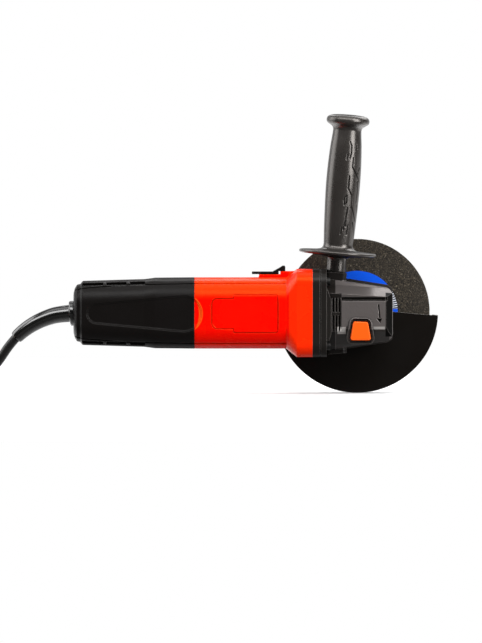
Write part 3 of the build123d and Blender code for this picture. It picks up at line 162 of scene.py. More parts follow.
def split(tree, vector):
    """The X, Y and Z of a vector, by those names."""
    return add(tree, "ShaderNodeSeparateXYZ", {"Vector": vector}).outputs


def facing_up(tree):
    """How far the surface looks up: 1 straight up, 0 sideways and -1 straight down."""
    return split(tree, add(tree, "ShaderNodeNewGeometry").outputs["Normal"])["Z"]


def noise(tree, place, scale, detail, roughness=0.5):
    """Value of a Noise Texture at a place."""
    return add(tree, "ShaderNodeTexNoise", {"Vector": place, "Scale": scale, "Detail": detail,
                                            "Roughness": roughness}).outputs[0]


def bump(tree, height, depth, normal=None, strength=1.0):
    """Normal of a surface that a height from 0 to 1 raises by a depth in metres."""
    inputs = {"Height": height, "Distance": depth, "Strength": strength}
    if normal is not None:
        inputs["Normal"] = normal
    return add(tree, "ShaderNodeBump", inputs).outputs[0]


def ramp(tree, value, low, high, to_low=0.0, to_high=1.0):
    """A value carried smoothly from one range into another."""
    node = add(tree, "ShaderNodeMapRange",
               {"Value": value, "From Min": low, "From Max": high,
                "To Min": to_low, "To Max": to_high}, interpolation_type="SMOOTHSTEP")
    return node.outputs["Result"]


def blend_colours(tree, factor, low, high):
    """Colour between two, by a factor."""
    node = add(tree, "ShaderNodeMix", data_type="RGBA")
    for socket, value in ((node.inputs["Factor"], factor), (node.inputs[6], low),
                          (node.inputs[7], high)):
        if isinstance(value, bpy.types.NodeSocket):
            tree.links.new(value, socket)
        else:
            socket.default_value = value
    return node.outputs[2]


def mix_values(tree, factor, low, high):
    """Value between two, by a factor."""
    node = add(tree, "ShaderNodeMix", {"Factor": factor, "A": low, "B": high})
    return node.outputs[0]


def rgb(red, green, blue):
    """Opaque colour."""
    return (red, green, blue, 1.0)


def new_group(name, inputs, outputs):
    """Tree of an empty shader group and its two ends; an input is (label, kind, own value)."""
    tree = bpy.data.node_groups.new(name, "ShaderNodeTree")
    for label, kind, value in inputs:
        socket = tree.interface.new_socket(label, in_out="INPUT", socket_type=kind)
        if value is not None:
            socket.default_value = value
    for label, kind in outputs:
        tree.interface.new_socket(label, in_out="OUTPUT", socket_type=kind)
    return tree, tree.nodes.new("NodeGroupInput"), tree.nodes.new("NodeGroupOutput")


FLOAT, VECTOR = "NodeSocketFloat", "NodeSocketVector"


def moulded_grain_group():
    """Height of the fine leathery grain of moulded or cast skin."""
    tree, given, made = new_group("moulded grain", [("Scale", FLOAT, 1500.0)],
                                  [("Height", FLOAT)])
    place = object_place(tree)
    fine = noise(tree, place, given.outputs["Scale"], 3.0, 0.6)
    cells = add(tree, "ShaderNodeTexVoronoi",
                {"Vector": place, "Scale": calc(tree, "MULTIPLY", given.outputs["Scale"], 0.6)},
                feature="SMOOTH_F1").outputs[0]
    height = calc(tree, "MULTIPLY_ADD", cells, 0.5, calc(tree, "MULTIPLY", fine, 0.6))
    tree.links.new(height, made.inputs["Height"])
    return tree


def soft_edge_group():
    """Normal rounded over the edges within a radius, and a mask of the edges themselves.

    A point is on an edge where the rounded normal leaves the plain one: their dot product falls.
    """
    tree, given, made = new_group("soft edge", [("Radius", FLOAT, 0.0006)],
                                  [("Normal", VECTOR), ("Edge", FLOAT)])
    rounded = add(tree, "ShaderNodeBevel", {"Radius": given.outputs["Radius"]}, samples=6)
    plain = add(tree, "ShaderNodeNewGeometry").outputs["Normal"]
    agree = vector_calc(tree, "DOT_PRODUCT", rounded.outputs[0], plain)
    tree.links.new(rounded.outputs[0], made.inputs["Normal"])
    tree.links.new(ramp(tree, agree, 0.995, 0.90), made.inputs["Edge"])
    return tree


def handling_group():
    """Cloudy handling marks and fine scuffs: a mask each."""
    tree, given, made = new_group("handling", [("Scale", FLOAT, 30.0)],
                                  [("Clouds", FLOAT), ("Scuffs", FLOAT)])
    place = object_place(tree)
    clouds = noise(tree, place, given.outputs["Scale"], 5.0, 0.6)
    turned = add(tree, "ShaderNodeMapping",
                 {"Vector": place, "Rotation": (0.3, 0.5, 0.7), "Scale": (1.0, 9.0, 9.0)})
    finer = calc(tree, "MULTIPLY", given.outputs["Scale"], 4.0)
    strokes = noise(tree, turned.outputs[0], finer, 4.0, 0.75)
    tree.links.new(ramp(tree, clouds, 0.35, 0.68), made.inputs["Clouds"])
    tree.links.new(ramp(tree, strokes, 0.62, 0.74), made.inputs["Scuffs"])
    return tree


def side_panel_group():
    """Distance in the (x, z) plane to the edge of a rounded rectangle, negative inside it.

    With q = |p - middle| - half + radius, it is |max(q, 0)| + min(max(q.x, q.z), 0) - radius.
    """
    tree, given, made = new_group("side panel", [("Middle", VECTOR, None), ("Half", VECTOR, None),
                                                 ("Radius", FLOAT, 0.004)],
                                  [("Distance", FLOAT)])
    flat = vector_calc(tree, "MULTIPLY", object_place(tree), (1.0, 0.0, 1.0))
    off = vector_calc(tree, "SUBTRACT", flat, given.outputs["Middle"])
    off = vector_calc(tree, "ABSOLUTE", off)
    off = vector_calc(tree, "SUBTRACT", off, given.outputs["Half"])
    radius = given.outputs["Radius"]
    grown = add(tree, "ShaderNodeCombineXYZ", {"X": radius, "Z": radius}).outputs[0]
    off = vector_calc(tree, "ADD", off, grown)
    outside = vector_calc(tree, "LENGTH", vector_calc(tree, "MAXIMUM", off))
    parts = split(tree, off)
    within = calc(tree, "MINIMUM", calc(tree, "MAXIMUM", parts["X"], parts["Z"]), 0.0)
    tree.links.new(calc(tree, "SUBTRACT", calc(tree, "ADD", outside, within), radius),
                   made.inputs["Distance"])
    return tree


def dust_group():
    """Mask of light dust that settles in patches on faces that look up."""
    tree, given, made = new_group("dust", [("Amount", FLOAT, 0.2)], [("Mask", FLOAT)])
    patches = noise(tree, object_place(tree), 160.0, 6.0, 0.7)
    settled = calc(tree, "MULTIPLY", ramp(tree, facing_up(tree), 0.3, 1.0),
                   ramp(tree, patches, 0.4, 0.8))
    tree.links.new(calc(tree, "MULTIPLY", settled, given.outputs["Amount"]), made.inputs["Mask"])
    return tree


def turning_marks_group():
    """Height of the fine marks that tools leave in metal: noise with one mark in each pitch."""
    tree, given, made = new_group("turning marks", [("Pitch", FLOAT, 0.0004)],
                                  [("Height", FLOAT)])
    per_metre = calc(tree, "DIVIDE", 1.0, given.outputs["Pitch"])
    tree.links.new(noise(tree, object_place(tree), per_metre, 2.0), made.inputs["Height"])
    return tree


def crevice_group():
    """Mask of grooves, seams and inner corners where little light comes in, for painted shade."""
    tree, given, made = new_group("crevice", [("Reach", FLOAT, 0.0018)], [("Mask", FLOAT)])
    open_share = add(tree, "ShaderNodeAmbientOcclusion", {"Distance": given.outputs["Reach"]},
                     samples=6).outputs["AO"]
    tree.links.new(ramp(tree, open_share, 0.90, 0.40), made.inputs["Mask"])
    return tree


def inside_group():
    """Mask of the points between two corners of a box, soft over its outer 0.3 mm."""
    tree, given, made = new_group("inside", [("Low", VECTOR, None), ("High", VECTOR, None)],
                                  [("Mask", FLOAT)])
    place = object_place(tree)
    above = vector_calc(tree, "SUBTRACT", place, given.outputs["Low"])
    below = vector_calc(tree, "SUBTRACT", given.outputs["High"], place)
    parts = split(tree, vector_calc(tree, "MINIMUM", above, below))
    least = calc(tree, "MINIMUM", calc(tree, "MINIMUM", parts["X"], parts["Y"]), parts["Z"])
    tree.links.new(ramp(tree, least, 0.0, 0.0003), made.inputs["Mask"])
    return tree


groups = {
    "grain": moulded_grain_group(),
    "inside": inside_group(),
    "side_panel": side_panel_group(),
    "crevice": crevice_group(),
    "edge": soft_edge_group(),
    "handling": handling_group(),
    "dust": dust_group(),
    "turning": turning_marks_group(),
}


def effect(tree, name, **inputs):
    """A shared effect placed in a material with its own values."""
    node = tree.nodes.new("ShaderNodeGroup")
    node.node_tree = groups[name]
    for label, value in inputs.items():
        node.inputs[label].default_value = value
    return node.outputs


def zones(tree, boxes):
    """Mask of the points that lie in any of the boxes, each given by two corners as at() takes."""
    mask = 0.0
    for low, high in boxes:
        inside = effect(tree, "inside", Low=tuple(at(*low)), High=tuple(at(*high)))["Mask"]
        mask = calc(tree, "MAXIMUM", mask, inside)
    return mask


def panel_gap(tree, middle, half, radius):
    """Distance to the edge of a rounded panel on the tool's sides, given in mm as at() takes."""
    return effect(tree, "side_panel", Middle=tuple(at(*middle) * (1, 0, 1)), Radius=MM * radius,
                  Half=tuple(MM * length for length in half))["Distance"]


def crescent_highlights(tree, base, highlight_crescents):
    """Colour with a painted highlight laid inside the outer panel and outside the inner one of
    each row.
    """
    outside, inside = 0.0002, -0.0004
    for outer, inner, tint in highlight_crescents:
        band = calc(tree, "MULTIPLY", ramp(tree, panel_gap(tree, *outer), outside, inside),
                    ramp(tree, panel_gap(tree, *inner), inside, outside))
        base = blend_colours(tree, band, base, tint)
    return base


def painted_light_zones(tree, base, gloss, painted):
    """Colour and gloss with each row of painted shade and highlights laid over its boxes, and the
    share that stays unpainted.
    """
    unpainted = 1.0
    for paint, shine, boxes in painted:
        mask = zones(tree, boxes)
        base = blend_colours(tree, mask, base, paint)
        unpainted = calc(tree, "MINIMUM", unpainted, calc(tree, "SUBTRACT", 1.0, mask))
        gloss = mix_values(tree, mask, gloss, shine)
    return base, gloss, unpainted


def panel_grooves(tree, panels):
    """Mask of the groove round the panels: it is full within 0.2 mm of the nearest edge."""
    nearest = 1.0
    for panel in panels:
        nearest = calc(tree, "MINIMUM", nearest, panel_gap(tree, *panel))
    return ramp(tree, calc(tree, "ABSOLUTE", nearest), 0.0006, 0.0002)


# the dust colour is real dust; the crevice colour is painted shade in grooves and inner corners
dust_colour, crevice_shade_colour = rgb(0.30, 0.27, 0.24), rgb(0.002, 0.0018, 0.0016)
# the groove colour is painted shade in the panel grooves
groove_shade_colour, groove_depth = rgb(0.22, 0.001, 0.0006), 0.0003
# the engraving colour is painted shade in the cut strokes
engraving_shade_colour = rgb(0.002, 0.002, 0.002)
# a face counts as level as the Z of its normal goes from the first value to the second
level_range, level_roughness, level_gloss = (0.90, 0.985), 0.35, 0.12


def moulded(name, colour, wear_and_highlight_colour, roughness, grain_scale=1500.0, grain_depth=0.00004,
            edge_radius=0.0006, edge_wear_and_highlight=0.35, specular=0.5, gloss_tint=(1.0, 1.0, 1.0),
            metallic=0.0, dust=0.1, clouds=0.25, engraved=False, crevice_shading=0.0, top_highlight=None,
            painted=(), index=1.5, scuffed=0.08, panels=(), highlight_crescents=()):
    """Moulded, cast or painted skin: grain, softened edges, handling marks, dust.

    Edges are painted lighter, partly as wear and partly as a painted highlight, and grooves and
    inner corners are painted darker as shade. Level faces are rougher and less glossy than the
    rest, and the top colour is a painted highlight on what looks up. The painted rows of (colour,
    gloss, boxes) lay painted shade and painted highlights that cover the metal. panels has the
    rounded panels with a groove round them, each (middle, half size, radius) in mm, and the
    grooves are painted darker as shade. The crescent rows of (outer panel, inner panel, tint) lay
    a painted highlight. engraved paints the cut strokes darker as shade.
    """
    material, tree, shader = principled_material(name)
    grain = effect(tree, "grain", Scale=grain_scale)
    edge = effect(tree, "edge", Radius=edge_radius)
    handling = effect(tree, "handling", Scale=28.0)
    settled = effect(tree, "dust", Amount=dust)
    up = facing_up(tree)

    deeper = tuple(channel * 0.8 for channel in colour[:3]) + (1.0,)
    base = blend_colours(tree, calc(tree, "MULTIPLY", handling["Clouds"], clouds), colour, deeper)
    # faces that look up are blended towards a painted highlight colour, the orange sheen of lamps
    # above
    if top_highlight is not None:
        base = blend_colours(tree, ramp(tree, up, 0.05, 0.75), base, top_highlight)
    base = crescent_highlights(tree, base, highlight_crescents)
    base, gloss, unpainted = painted_light_zones(tree, base, specular, painted)
    # edges are painted lighter, partly as wear and partly as a painted highlight
    base = blend_colours(tree, calc(tree, "MULTIPLY", edge["Edge"], edge_wear_and_highlight), base, wear_and_highlight_colour)
    base = blend_colours(tree, settled["Mask"], base, dust_colour)
    # the groove round each panel is painted darker as shade
    if panels:
        groove = panel_grooves(tree, panels)
        base = blend_colours(tree, calc(tree, "MULTIPLY", groove, 0.6), base, groove_shade_colour)
    # grooves and inner corners are painted darker as shade
    if crevice_shading:
        crevice_shade_mask = calc(tree, "MULTIPLY", effect(tree, "crevice")["Mask"], crevice_shading)
        base = blend_colours(tree, crevice_shade_mask, base, crevice_shade_colour)
    # the engraved strokes are painted darker as shade, with no gloss
    if engraved:
        cut = add(tree, "ShaderNodeAttribute", attribute_name="engraved").outputs["Fac"]
        base = blend_colours(tree, cut, base, engraving_shade_colour)
    tree.links.new(base, shader.inputs["Base Color"])

    matt = calc(tree, "MULTIPLY_ADD", handling["Clouds"], scuffed, roughness - scuffed / 2)
    matt = calc(tree, "MULTIPLY_ADD", handling["Scuffs"], scuffed, matt, clamp=True)
    level = ramp(tree, calc(tree, "ABSOLUTE", up), *level_range)
    matt = calc(tree, "MULTIPLY_ADD", level, level_roughness, matt, clamp=True)
    gloss = mix_values(tree, level, gloss, level_gloss)
    if engraved:
        gloss = mix_values(tree, cut, gloss, 0.0)
    tree.links.new(matt, shader.inputs["Roughness"])
    tree.links.new(gloss, shader.inputs["Specular IOR Level"])

    relief = bump(tree, grain["Height"], grain_depth, edge["Normal"])
    if panels:
        relief = bump(tree, calc(tree, "SUBTRACT", 1.0, groove), groove_depth, relief)
    tree.links.new(relief, shader.inputs["Normal"])
    if painted:
        tree.links.new(calc(tree, "MULTIPLY", unpainted, metallic), shader.inputs["Metallic"])
    else:
        shader.inputs["Metallic"].default_value = metallic
    shader.inputs["Specular Tint"].default_value = rgb(*gloss_tint)
    shader.inputs["IOR"].default_value = index
    return material


def machined(name, colour, dull, roughness, pitch=0.0004, depth=0.000008):
    """Turned or drawn metal: fine marks, cloudy tarnish, bright softened edges."""
    material, tree, shader = principled_material(name)
    marks = effect(tree, "turning", Pitch=pitch)
    edge = effect(tree, "edge", Radius=0.0003)
    handling = effect(tree, "handling", Scale=60.0)
    base = blend_colours(tree, handling["Clouds"], colour, dull)
    base = blend_colours(tree, calc(tree, "MULTIPLY", edge["Edge"], 0.5), base,
                         tuple(min(1.0, channel * 1.3) for channel in colour[:3]) + (1.0,))
    tree.links.new(base, shader.inputs["Base Color"])
    tree.links.new(calc(tree, "MULTIPLY_ADD", handling["Clouds"], 0.15, roughness),
                   shader.inputs["Roughness"])
    tree.links.new(bump(tree, marks["Height"], depth, edge["Normal"]), shader.inputs["Normal"])
    shader.inputs["Metallic"].default_value = 1.0
    return material


# ------------------------------------------------------------------ the finishes
# painted shade and painted highlights on the gear case and the motor housing: boxes in mm, as at()
# takes them
beyond = 80.0  # clear of the tool on every side
face_skin = -33.85  # just under the case's flat top face, so that only its recesses take the painted shade
face_depth = -28.0  # as far in as the painted shade and highlights on that face go


def button_well_shade(top=-4.2, foot=-24.2, middle=2.35, half_top=8.2, half_foot=10.5, corner=3.5,
                rows=14, lap=0.3):
    """Rows of boxes filling the tapered, round-cornered band between lock button and rim, for its
    painted shade.

    The half width grows evenly from the top to the foot, less what the corners' arcs cut off.
    """
    height = (top - foot) / rows
    boxes = []
    for row in range(rows):
        drop = (row + 0.5) * height
        half = half_top + (half_foot - half_top) * drop / (top - foot)
        short = max(corner - min(drop, top - foot - drop), 0.0)
        half -= corner - math.sqrt(corner ** 2 - short ** 2)
        boxes.append(((middle - half, -beyond, top - (row + 1) * height - lap),
                      (middle + half, face_depth, top - row * height + lap)))
    return boxes


# dark colour for painted shade on the case's lower slope, which looks down
case_underside_shade = [((-19.0, -beyond, -40.0), (27.0, -8.0, -13.0))]
# dark colour for painted shade on the rear flange, the bosses above and below, and the louvres
case_shade = [((-beyond, -beyond, -beyond), (-26.4, beyond, beyond)),
                  ((-beyond, -beyond, 28.0), (beyond, beyond, beyond)),
                  ((-beyond, -beyond, -beyond), (beyond, beyond, -31.2)),
                  ((-27.0, -beyond, -11.0), (-13.8, 0.0, 17.6)),
                  ((-27.0, -beyond, -40.0), (-19.0, 0.0, 40.0))]
# light colour for painted highlights along the lower crease beside the lock button
case_highlights = [((12.8, -beyond, -13.4), (23.0, face_depth, -10.8)),
               ((-17.6, -beyond, -17.5), (-10.2, face_depth, -11.0))]
# near black for painted shade: the nose's dark front, the top face's recesses and the band round
# the lock button
case_black_shade = [((23.3, -beyond, -beyond), (beyond, -26.4, beyond)),
              ((13.0, face_skin, -7.5), (22.5, face_depth, 8.5)),
              ((-8.0, face_skin, -23.6), (12.4, -18.0, -5.6)),
              ((-14.0, face_skin, 10.4), (23.4, face_depth, 14.4))] + button_well_shade()
# the collar's orange is a painted highlight, its sheen under the front lamps
collar_highlight_boxes = [((-59.0, -beyond, -beyond), (-38.0, beyond, beyond))]
# panels on the motor housing's sides: (middle, half size, radius) in mm
long_panel = ((-96.4, 0.0, 0.0), (28.0, 60.0, 12.9), 4.5)
tall_panel = ((-87.3, 0.0, 0.0), (18.8, 60.0, 16.2), 1.5)
# the band inside the first of these and outside the second is a painted highlight, the lit end of
# the finger recess
shine_disc = ((-149.1, 0.0, 0.0), (17.1, 60.0, 17.1), 17.1)
shine_bite = ((-163.3, 0.0, 0.0), (28.0, 60.0, 28.0), 28.0)

# the red housing's tops, the crescent at its recess's end and its collar carry painted highlights
housing_red = moulded("housing red", rgb(0.90, 0.0004, 0.0003), rgb(0.96, 0.05, 0.006), 0.28,
                      grain_scale=1700.0, grain_depth=0.00002, edge_radius=0.0012,
                      edge_wear_and_highlight=0.5, specular=0.30, gloss_tint=(1.0, 0.42, 0.05), dust=0.0,
                      clouds=0.2, crevice_shading=0.35, top_highlight=rgb(0.94, 0.030, 0.0012),
                      highlight_crescents=[(shine_disc, shine_bite, rgb(0.95, 0.085, 0.006))],
                      panels=[long_panel, tall_panel],
                      painted=[(rgb(0.93, 0.019, 0.0012), 0.4, collar_highlight_boxes)])
cover_black = moulded("cover black", rgb(0.0050, 0.0040, 0.0036), rgb(0.05, 0.045, 0.042), 0.38,
                      grain_scale=1300.0, grain_depth=0.00005, edge_radius=0.001,
                      edge_wear_and_highlight=0.2, specular=0.14, dust=0.01, crevice_shading=0.8)
# the gear case's painted rows are painted shade and painted highlights
case_grey = moulded("gear case paint", rgb(0.165, 0.147, 0.141), rgb(0.36, 0.33, 0.31), 0.33,
                    grain_scale=650.0, grain_depth=0.00014, edge_radius=0.0006,
                    edge_wear_and_highlight=0.3, specular=0.5, metallic=0.6, dust=0.01, crevice_shading=0.95,
                    painted=[(rgb(0.026, 0.0225, 0.0205), 0.3, case_underside_shade),
                             (rgb(0.011, 0.0095, 0.0084), 0.16, case_shade),
                             (rgb(0.42, 0.40, 0.38), 0.4, case_highlights),
                             (rgb(0.003, 0.0027, 0.0024), 0.03, case_black_shade)])
cover_cast = moulded("bearing cover paint", rgb(0.030, 0.026, 0.024), rgb(0.10, 0.09, 0.085),
                     0.40, grain_scale=1000.0, grain_depth=0.00006, edge_radius=0.0005,
                     edge_wear_and_highlight=0.3, specular=0.4, metallic=0.3, dust=0.01)
guard_black = moulded("guard black", rgb(0.005, 0.0038, 0.0030), rgb(0.30, 0.28, 0.26), 0.32,
                      grain_scale=900.0, grain_depth=0.00002, edge_radius=0.0004,
                      edge_wear_and_highlight=0.9, specular=0.15, dust=0.01)
grip_black = moulded("grip black", rgb(0.018, 0.0155, 0.0140), rgb(0.06, 0.055, 0.050), 0.30,
                     grain_scale=1200.0, grain_depth=0.00003, edge_radius=0.0005,
                     edge_wear_and_highlight=0.08, specular=0.95, gloss_tint=(1.0, 0.94, 0.89), dust=0.0,
                     engraved=True)
button_orange = moulded("button orange", rgb(0.93, 0.100, 0.006), rgb(1.0, 0.28, 0.08), 0.36,
                        grain_scale=1600.0, grain_depth=0.00002, edge_radius=0.0007,
                        edge_wear_and_highlight=0.5, specular=0.4, gloss_tint=(1.0, 0.6, 0.2), dust=0.0)
rubber_black = moulded("rubber black", rgb(0.006, 0.0055, 0.005), rgb(0.03, 0.028, 0.026), 0.32,
                       grain_scale=1800.0, grain_depth=0.00001, edge_radius=0.0005,
                       edge_wear_and_highlight=0.2, specular=0.5, dust=0.02)
rubber_gloss = moulded("glossy rubber", rgb(0.003, 0.0027, 0.0024), rgb(0.03, 0.028, 0.026), 0.17,
                       grain_scale=2200.0, grain_depth=0.000002, edge_radius=0.0003,
                       edge_wear_and_highlight=0.1, specular=0.7, index=1.8, dust=0.0, scuffed=0.0)
strap_black = moulded("woven strap", rgb(0.012, 0.012, 0.013), rgb(0.05, 0.05, 0.05), 0.75,
                      grain_scale=2600.0, grain_depth=0.0002, specular=0.3, dust=0.08)
nylon_dark = moulded("glass-filled nylon", rgb(0.045, 0.043, 0.042), rgb(0.09, 0.085, 0.08), 0.55,
                     grain_scale=900.0, specular=0.4, dust=0.1)
felt_grey = moulded("felt", rgb(0.12, 0.115, 0.105), rgb(0.2, 0.19, 0.18), 0.9,
                    grain_scale=700.0, grain_depth=0.0002, specular=0.2, dust=0.1)
carbon_black = moulded("sintered carbon", rgb(0.03, 0.03, 0.032), rgb(0.10, 0.10, 0.11), 0.55,
                       grain_scale=1500.0, specular=0.5, dust=0.05)
lamination_grey = moulded("lacquered laminations", rgb(0.16, 0.15, 0.15), rgb(0.35, 0.33, 0.32),
                          0.5, grain_scale=1200.0, metallic=0.6, dust=0.05)
wire_insulation = moulded("wire insulation", rgb(0.02, 0.05, 0.20), rgb(0.05, 0.1, 0.3), 0.4,
                          grain_scale=1500.0, dust=0.05)
steel = machined("machined steel", rgb(0.56, 0.55, 0.54), rgb(0.42, 0.41, 0.40), 0.28)
zinc_steel = machined("zinc-plated steel", rgb(0.50, 0.49, 0.47), rgb(0.36, 0.35, 0.34), 0.34)
black_steel = machined("blackened steel", rgb(0.07, 0.068, 0.066), rgb(0.04, 0.039, 0.038), 0.40)
copper = machined("enamelled copper", rgb(0.75, 0.30, 0.13), rgb(0.50, 0.18, 0.08), 0.30)
brass = machined("brass", rgb(0.78, 0.58, 0.25), rgb(0.62, 0.44, 0.18), 0.30)


def abrasive_material():
    """Dark resin full of grit: brown to black grains, a few of them paler and glinting."""
    material, tree, shader = principled_material("resin-bonded grit")
    place = object_place(tree)
    grains = add(tree, "ShaderNodeTexVoronoi", {"Vector": place, "Scale": 1500.0})
    tone = add(tree, "ShaderNodeSeparateColor",
               {"Color": grains.outputs["Color"]}).outputs["Red"]
    clouds = noise(tree, place, 60.0, 4.0)
    base = blend_colours(tree, ramp(tree, tone, 0.15, 0.95), rgb(0.007, 0.0056, 0.0040),
                         rgb(0.050, 0.039, 0.026))
    base = blend_colours(tree, ramp(tree, tone, 0.94, 0.98), base, rgb(0.12, 0.098, 0.070))
    base = blend_colours(tree, ramp(tree, clouds, 0.3, 0.75, 0.0, 0.5), base,
                         rgb(0.026, 0.0215, 0.0155))
    tree.links.new(base, shader.inputs["Base Color"])
    tree.links.new(ramp(tree, tone, 0.85, 1.0, 0.8, 0.4), shader.inputs["Roughness"])
    tree.links.new(bump(tree, grains.outputs["Distance"], 0.0003, strength=0.8),
                   shader.inputs["Normal"])
    shader.inputs["Specular IOR Level"].default_value = 0.3
    return material


# print on the disc's blotter: radii in metres and angles round the spindle axis
label_blue, label_pale = rgb(0.002, 0.095, 0.78), rgb(0.72, 0.75, 0.78)
label_ink, fibre_blue = rgb(0.012, 0.014, 0.03), rgb(0.002, 0.04, 0.35)
ring_inner, ring_outer, ring_border = 0.0222, 0.0230, 0.0002
sector_middle, sector_half, sector_border = map(math.radians, (19.0, 15.0, 0.5))
bars_start, bars_border, bars_per_radian = 0.0305, 0.0005, 18.0


def label_material():
    """Printed paper blotter: blue, with a narrow pale ring and a pale sector barred at its rim.

    A point's angle and radius round the spindle axis say which of them it is in.
    """
    material, tree, shader = principled_material("printed blotter")
    place = object_place(tree)
    parts = split(tree, vector_calc(tree, "SUBTRACT", place, tuple(axes_cross)))
    x, z = parts["X"], parts["Z"]
    angle = calc(tree, "ARCTAN2", z, x)
    radius = calc(tree, "SQRT", calc(tree, "ADD", calc(tree, "MULTIPLY", x, x),
                                     calc(tree, "MULTIPLY", z, z)))
    from_middle = calc(tree, "ABSOLUTE", calc(tree, "SUBTRACT", angle, sector_middle))
    sector = ramp(tree, from_middle, sector_half, sector_half - sector_border)
    bars = calc(tree, "FRACT", calc(tree, "MULTIPLY", angle, bars_per_radian))
    bars = calc(tree, "MULTIPLY", ramp(tree, bars, 0.40, 0.46),
                ramp(tree, radius, bars_start, bars_start + bars_border))
    ring = calc(tree, "MULTIPLY", ramp(tree, radius, ring_inner, ring_inner + ring_border),
                ramp(tree, radius, ring_outer, ring_outer - ring_border))
    base = blend_colours(tree, ring, label_blue, label_pale)
    base = blend_colours(tree, sector, base, label_pale)
    base = blend_colours(tree, calc(tree, "MULTIPLY", sector, bars), base, label_ink)
    fibres = noise(tree, place, 900.0, 3.0)
    base = blend_colours(tree, ramp(tree, fibres, 0.4, 0.8, 0.0, 0.15), base, fibre_blue)
    tree.links.new(base, shader.inputs["Base Color"])
    tree.links.new(ramp(tree, fibres, 0.3, 0.7, 0.38, 0.5), shader.inputs["Roughness"])
    tree.links.new(bump(tree, fibres, 0.00003), shader.inputs["Normal"])
    shader.inputs["Specular IOR Level"].default_value = 0.15
    return material


abrasive = abrasive_material()
label_print = label_material()

finishes = {
    housing_red: ["motor_housing"],
    cover_black: ["rear_cover_left", "rear_cover_right", "switch_slider"],
    case_grey: ["gear_case"],
    cover_cast: ["bearing_cover"],
    guard_black: ["guard", "guard_clamp_band"],
    grip_black: ["side_handle_grip"],
    button_orange: ["lock_button"],
    rubber_black: ["strain_relief", "cord_tube", "cord_coil", "cord_tail", "mains_plug",
                   "bearing_boot"],
    nylon_dark: ["cooling_fan", "fan_baffle", "switch_body", "switch_rod", "cord_clamp"],
    felt_grey: ["dust_seal"],
    carbon_black: ["carbon_brushes"],
    lamination_grey: ["rotor_core", "stator_core"],
    wire_insulation: ["inner_wires"],
    copper: ["rotor_windings", "stator_coils", "commutator"],
    brass: ["brush_holders", "plug_pins"],
    black_steel: ["gear_case_screws", "rear_cover_screws", "bearing_cover_screws",
                  "crown_gear", "pinion_gear"],
    zinc_steel: ["guard_clamp_screw", "side_handle_stud", "bearing_retainer", "retainer_screws",
                 "cord_clamp_screws", "flange_nut", "inner_flange", "brush_springs",
                 "lock_spring"],
    steel: ["spindle", "gear_circlip", "pinion_nut", "rotor_shaft", "needle_bearing",
            "spindle_bearing_outer", "spindle_bearing_balls", "spindle_bearing_inner",
            "front_bearing_outer", "front_bearing_inner", "rear_bearing_outer",
            "rear_bearing_inner", "lock_pin"],
    abrasive: ["grinding_disc"],
    label_print: ["disc_label"],
}


def dress(thing, material):
    """Give a piece one material."""
    thing.data.materials.clear()
    thing.data.materials.append(material)


for material, names in finishes.items():
    for name in names:
        dress(nodes[name], material)
undressed = set(nodes) - {name for names in finishes.values() for name in names}
if undressed:
    raise ValueError(f"no finish for {sorted(undressed)}")


# ------------------------------------------------------------------ computed surfaces
def ring_mesh(name, rings, end_pole=None, closed=False):
    """Mesh over rings of points (rows, columns, 3): each ring is joined to the next one.

    The last ring may close in a fan on a pole, or meet the first one where closed is true.
    """
    rows, columns = rings.shape[:2]
    here = np.arange(columns)
    after = np.roll(here, -1)
    ring = np.arange(rows if closed else rows - 1)[:, None] * columns
    following = (ring + columns) % (rows * columns)
    faces = np.stack([ring + here, ring + after, following + after, following + here], axis=-1)
    faces = faces.reshape(-1, 4).tolist()
    points = list(map(tuple, rings.reshape(-1, 3)))
    if end_pole is not None:
        last = (rows - 1) * columns
        pole = np.full(columns, len(points))
        faces += np.stack([pole, last + here, last + after], axis=-1).tolist()
        points.append(tuple(end_pole))
    mesh = bpy.data.meshes.new(name)
    mesh.from_pydata(points, [], faces)
    mesh.shade_smooth()
    return add_object(name, mesh)


def full_turn(count):
    """Angles evenly spaced once round."""
    return np.linspace(0, 2 * math.pi, count, endpoint=False)


def smooth_profile(knots, step):
    """Points along a curve through the knots, at most one step apart.

    Each stretch is the Hermite cubic whose tangent at a knot is parallel to the chord between
    the knot's neighbours, and as long as the stretch.
    """
    knots = np.asarray(knots, dtype=float)
    before = np.concatenate([knots[:1], knots[:-1]])
    after = np.concatenate([knots[1:], knots[-1:]])
    reach = np.linalg.norm(np.diff(knots, axis=0), axis=1)
    spans = np.linalg.norm(after - before, axis=1)
    slopes = (after - before) / spans[:, None]
    line = []
    for index, length in enumerate(reach):
        share = np.linspace(0.0, 1.0, max(2, int(np.ceil(length / step)) + 1))[:-1, None]
        line.append((2 * share**3 - 3 * share**2 + 1) * knots[index]
                    + (share**3 - 2 * share**2 + share) * slopes[index] * length
                    + (3 * share**2 - 2 * share**3) * knots[index + 1]
                    + (share**3 - share**2) * slopes[index + 1] * length)
    return np.concatenate(line + [knots[-1:]])


# side handle: (height above its foot on the boss, radius) along its own leaning axis
handle_foot = (-18.4, 0.0, 34.6)
handle_lean = math.radians(4.5)
grip_start, grip_end = 24.0, 122.0
handle_profile = [
    (0.0, 4.1), (0.0, 7.8), (0.4, 8.2), (12.4, 8.2), (13.2, 9.4), (14.3, 20.0), (15.2, 31.6),
    (15.8, 32.7), (16.9, 33.0), (17.9, 32.4), (18.5, 28.0), (19.0, 20.0), (19.6, 15.4),
    (20.6, 13.8), (22.0, 12.9), (grip_start, 12.6), (40.0, 13.5), (60.0, 14.3), (76.0, 14.6),
    (92.0, 14.3), (108.0, 13.4), (118.0, 12.4), (grip_end, 12.1), (124.2, 12.8), (126.2, 15.4),
    (127.4, 17.2), (128.8, 18.2), (130.8, 18.3), (132.6, 17.6), (134.0, 15.6), (134.9, 11.0),
    (135.3, 5.0)]
handle_top = 135.4
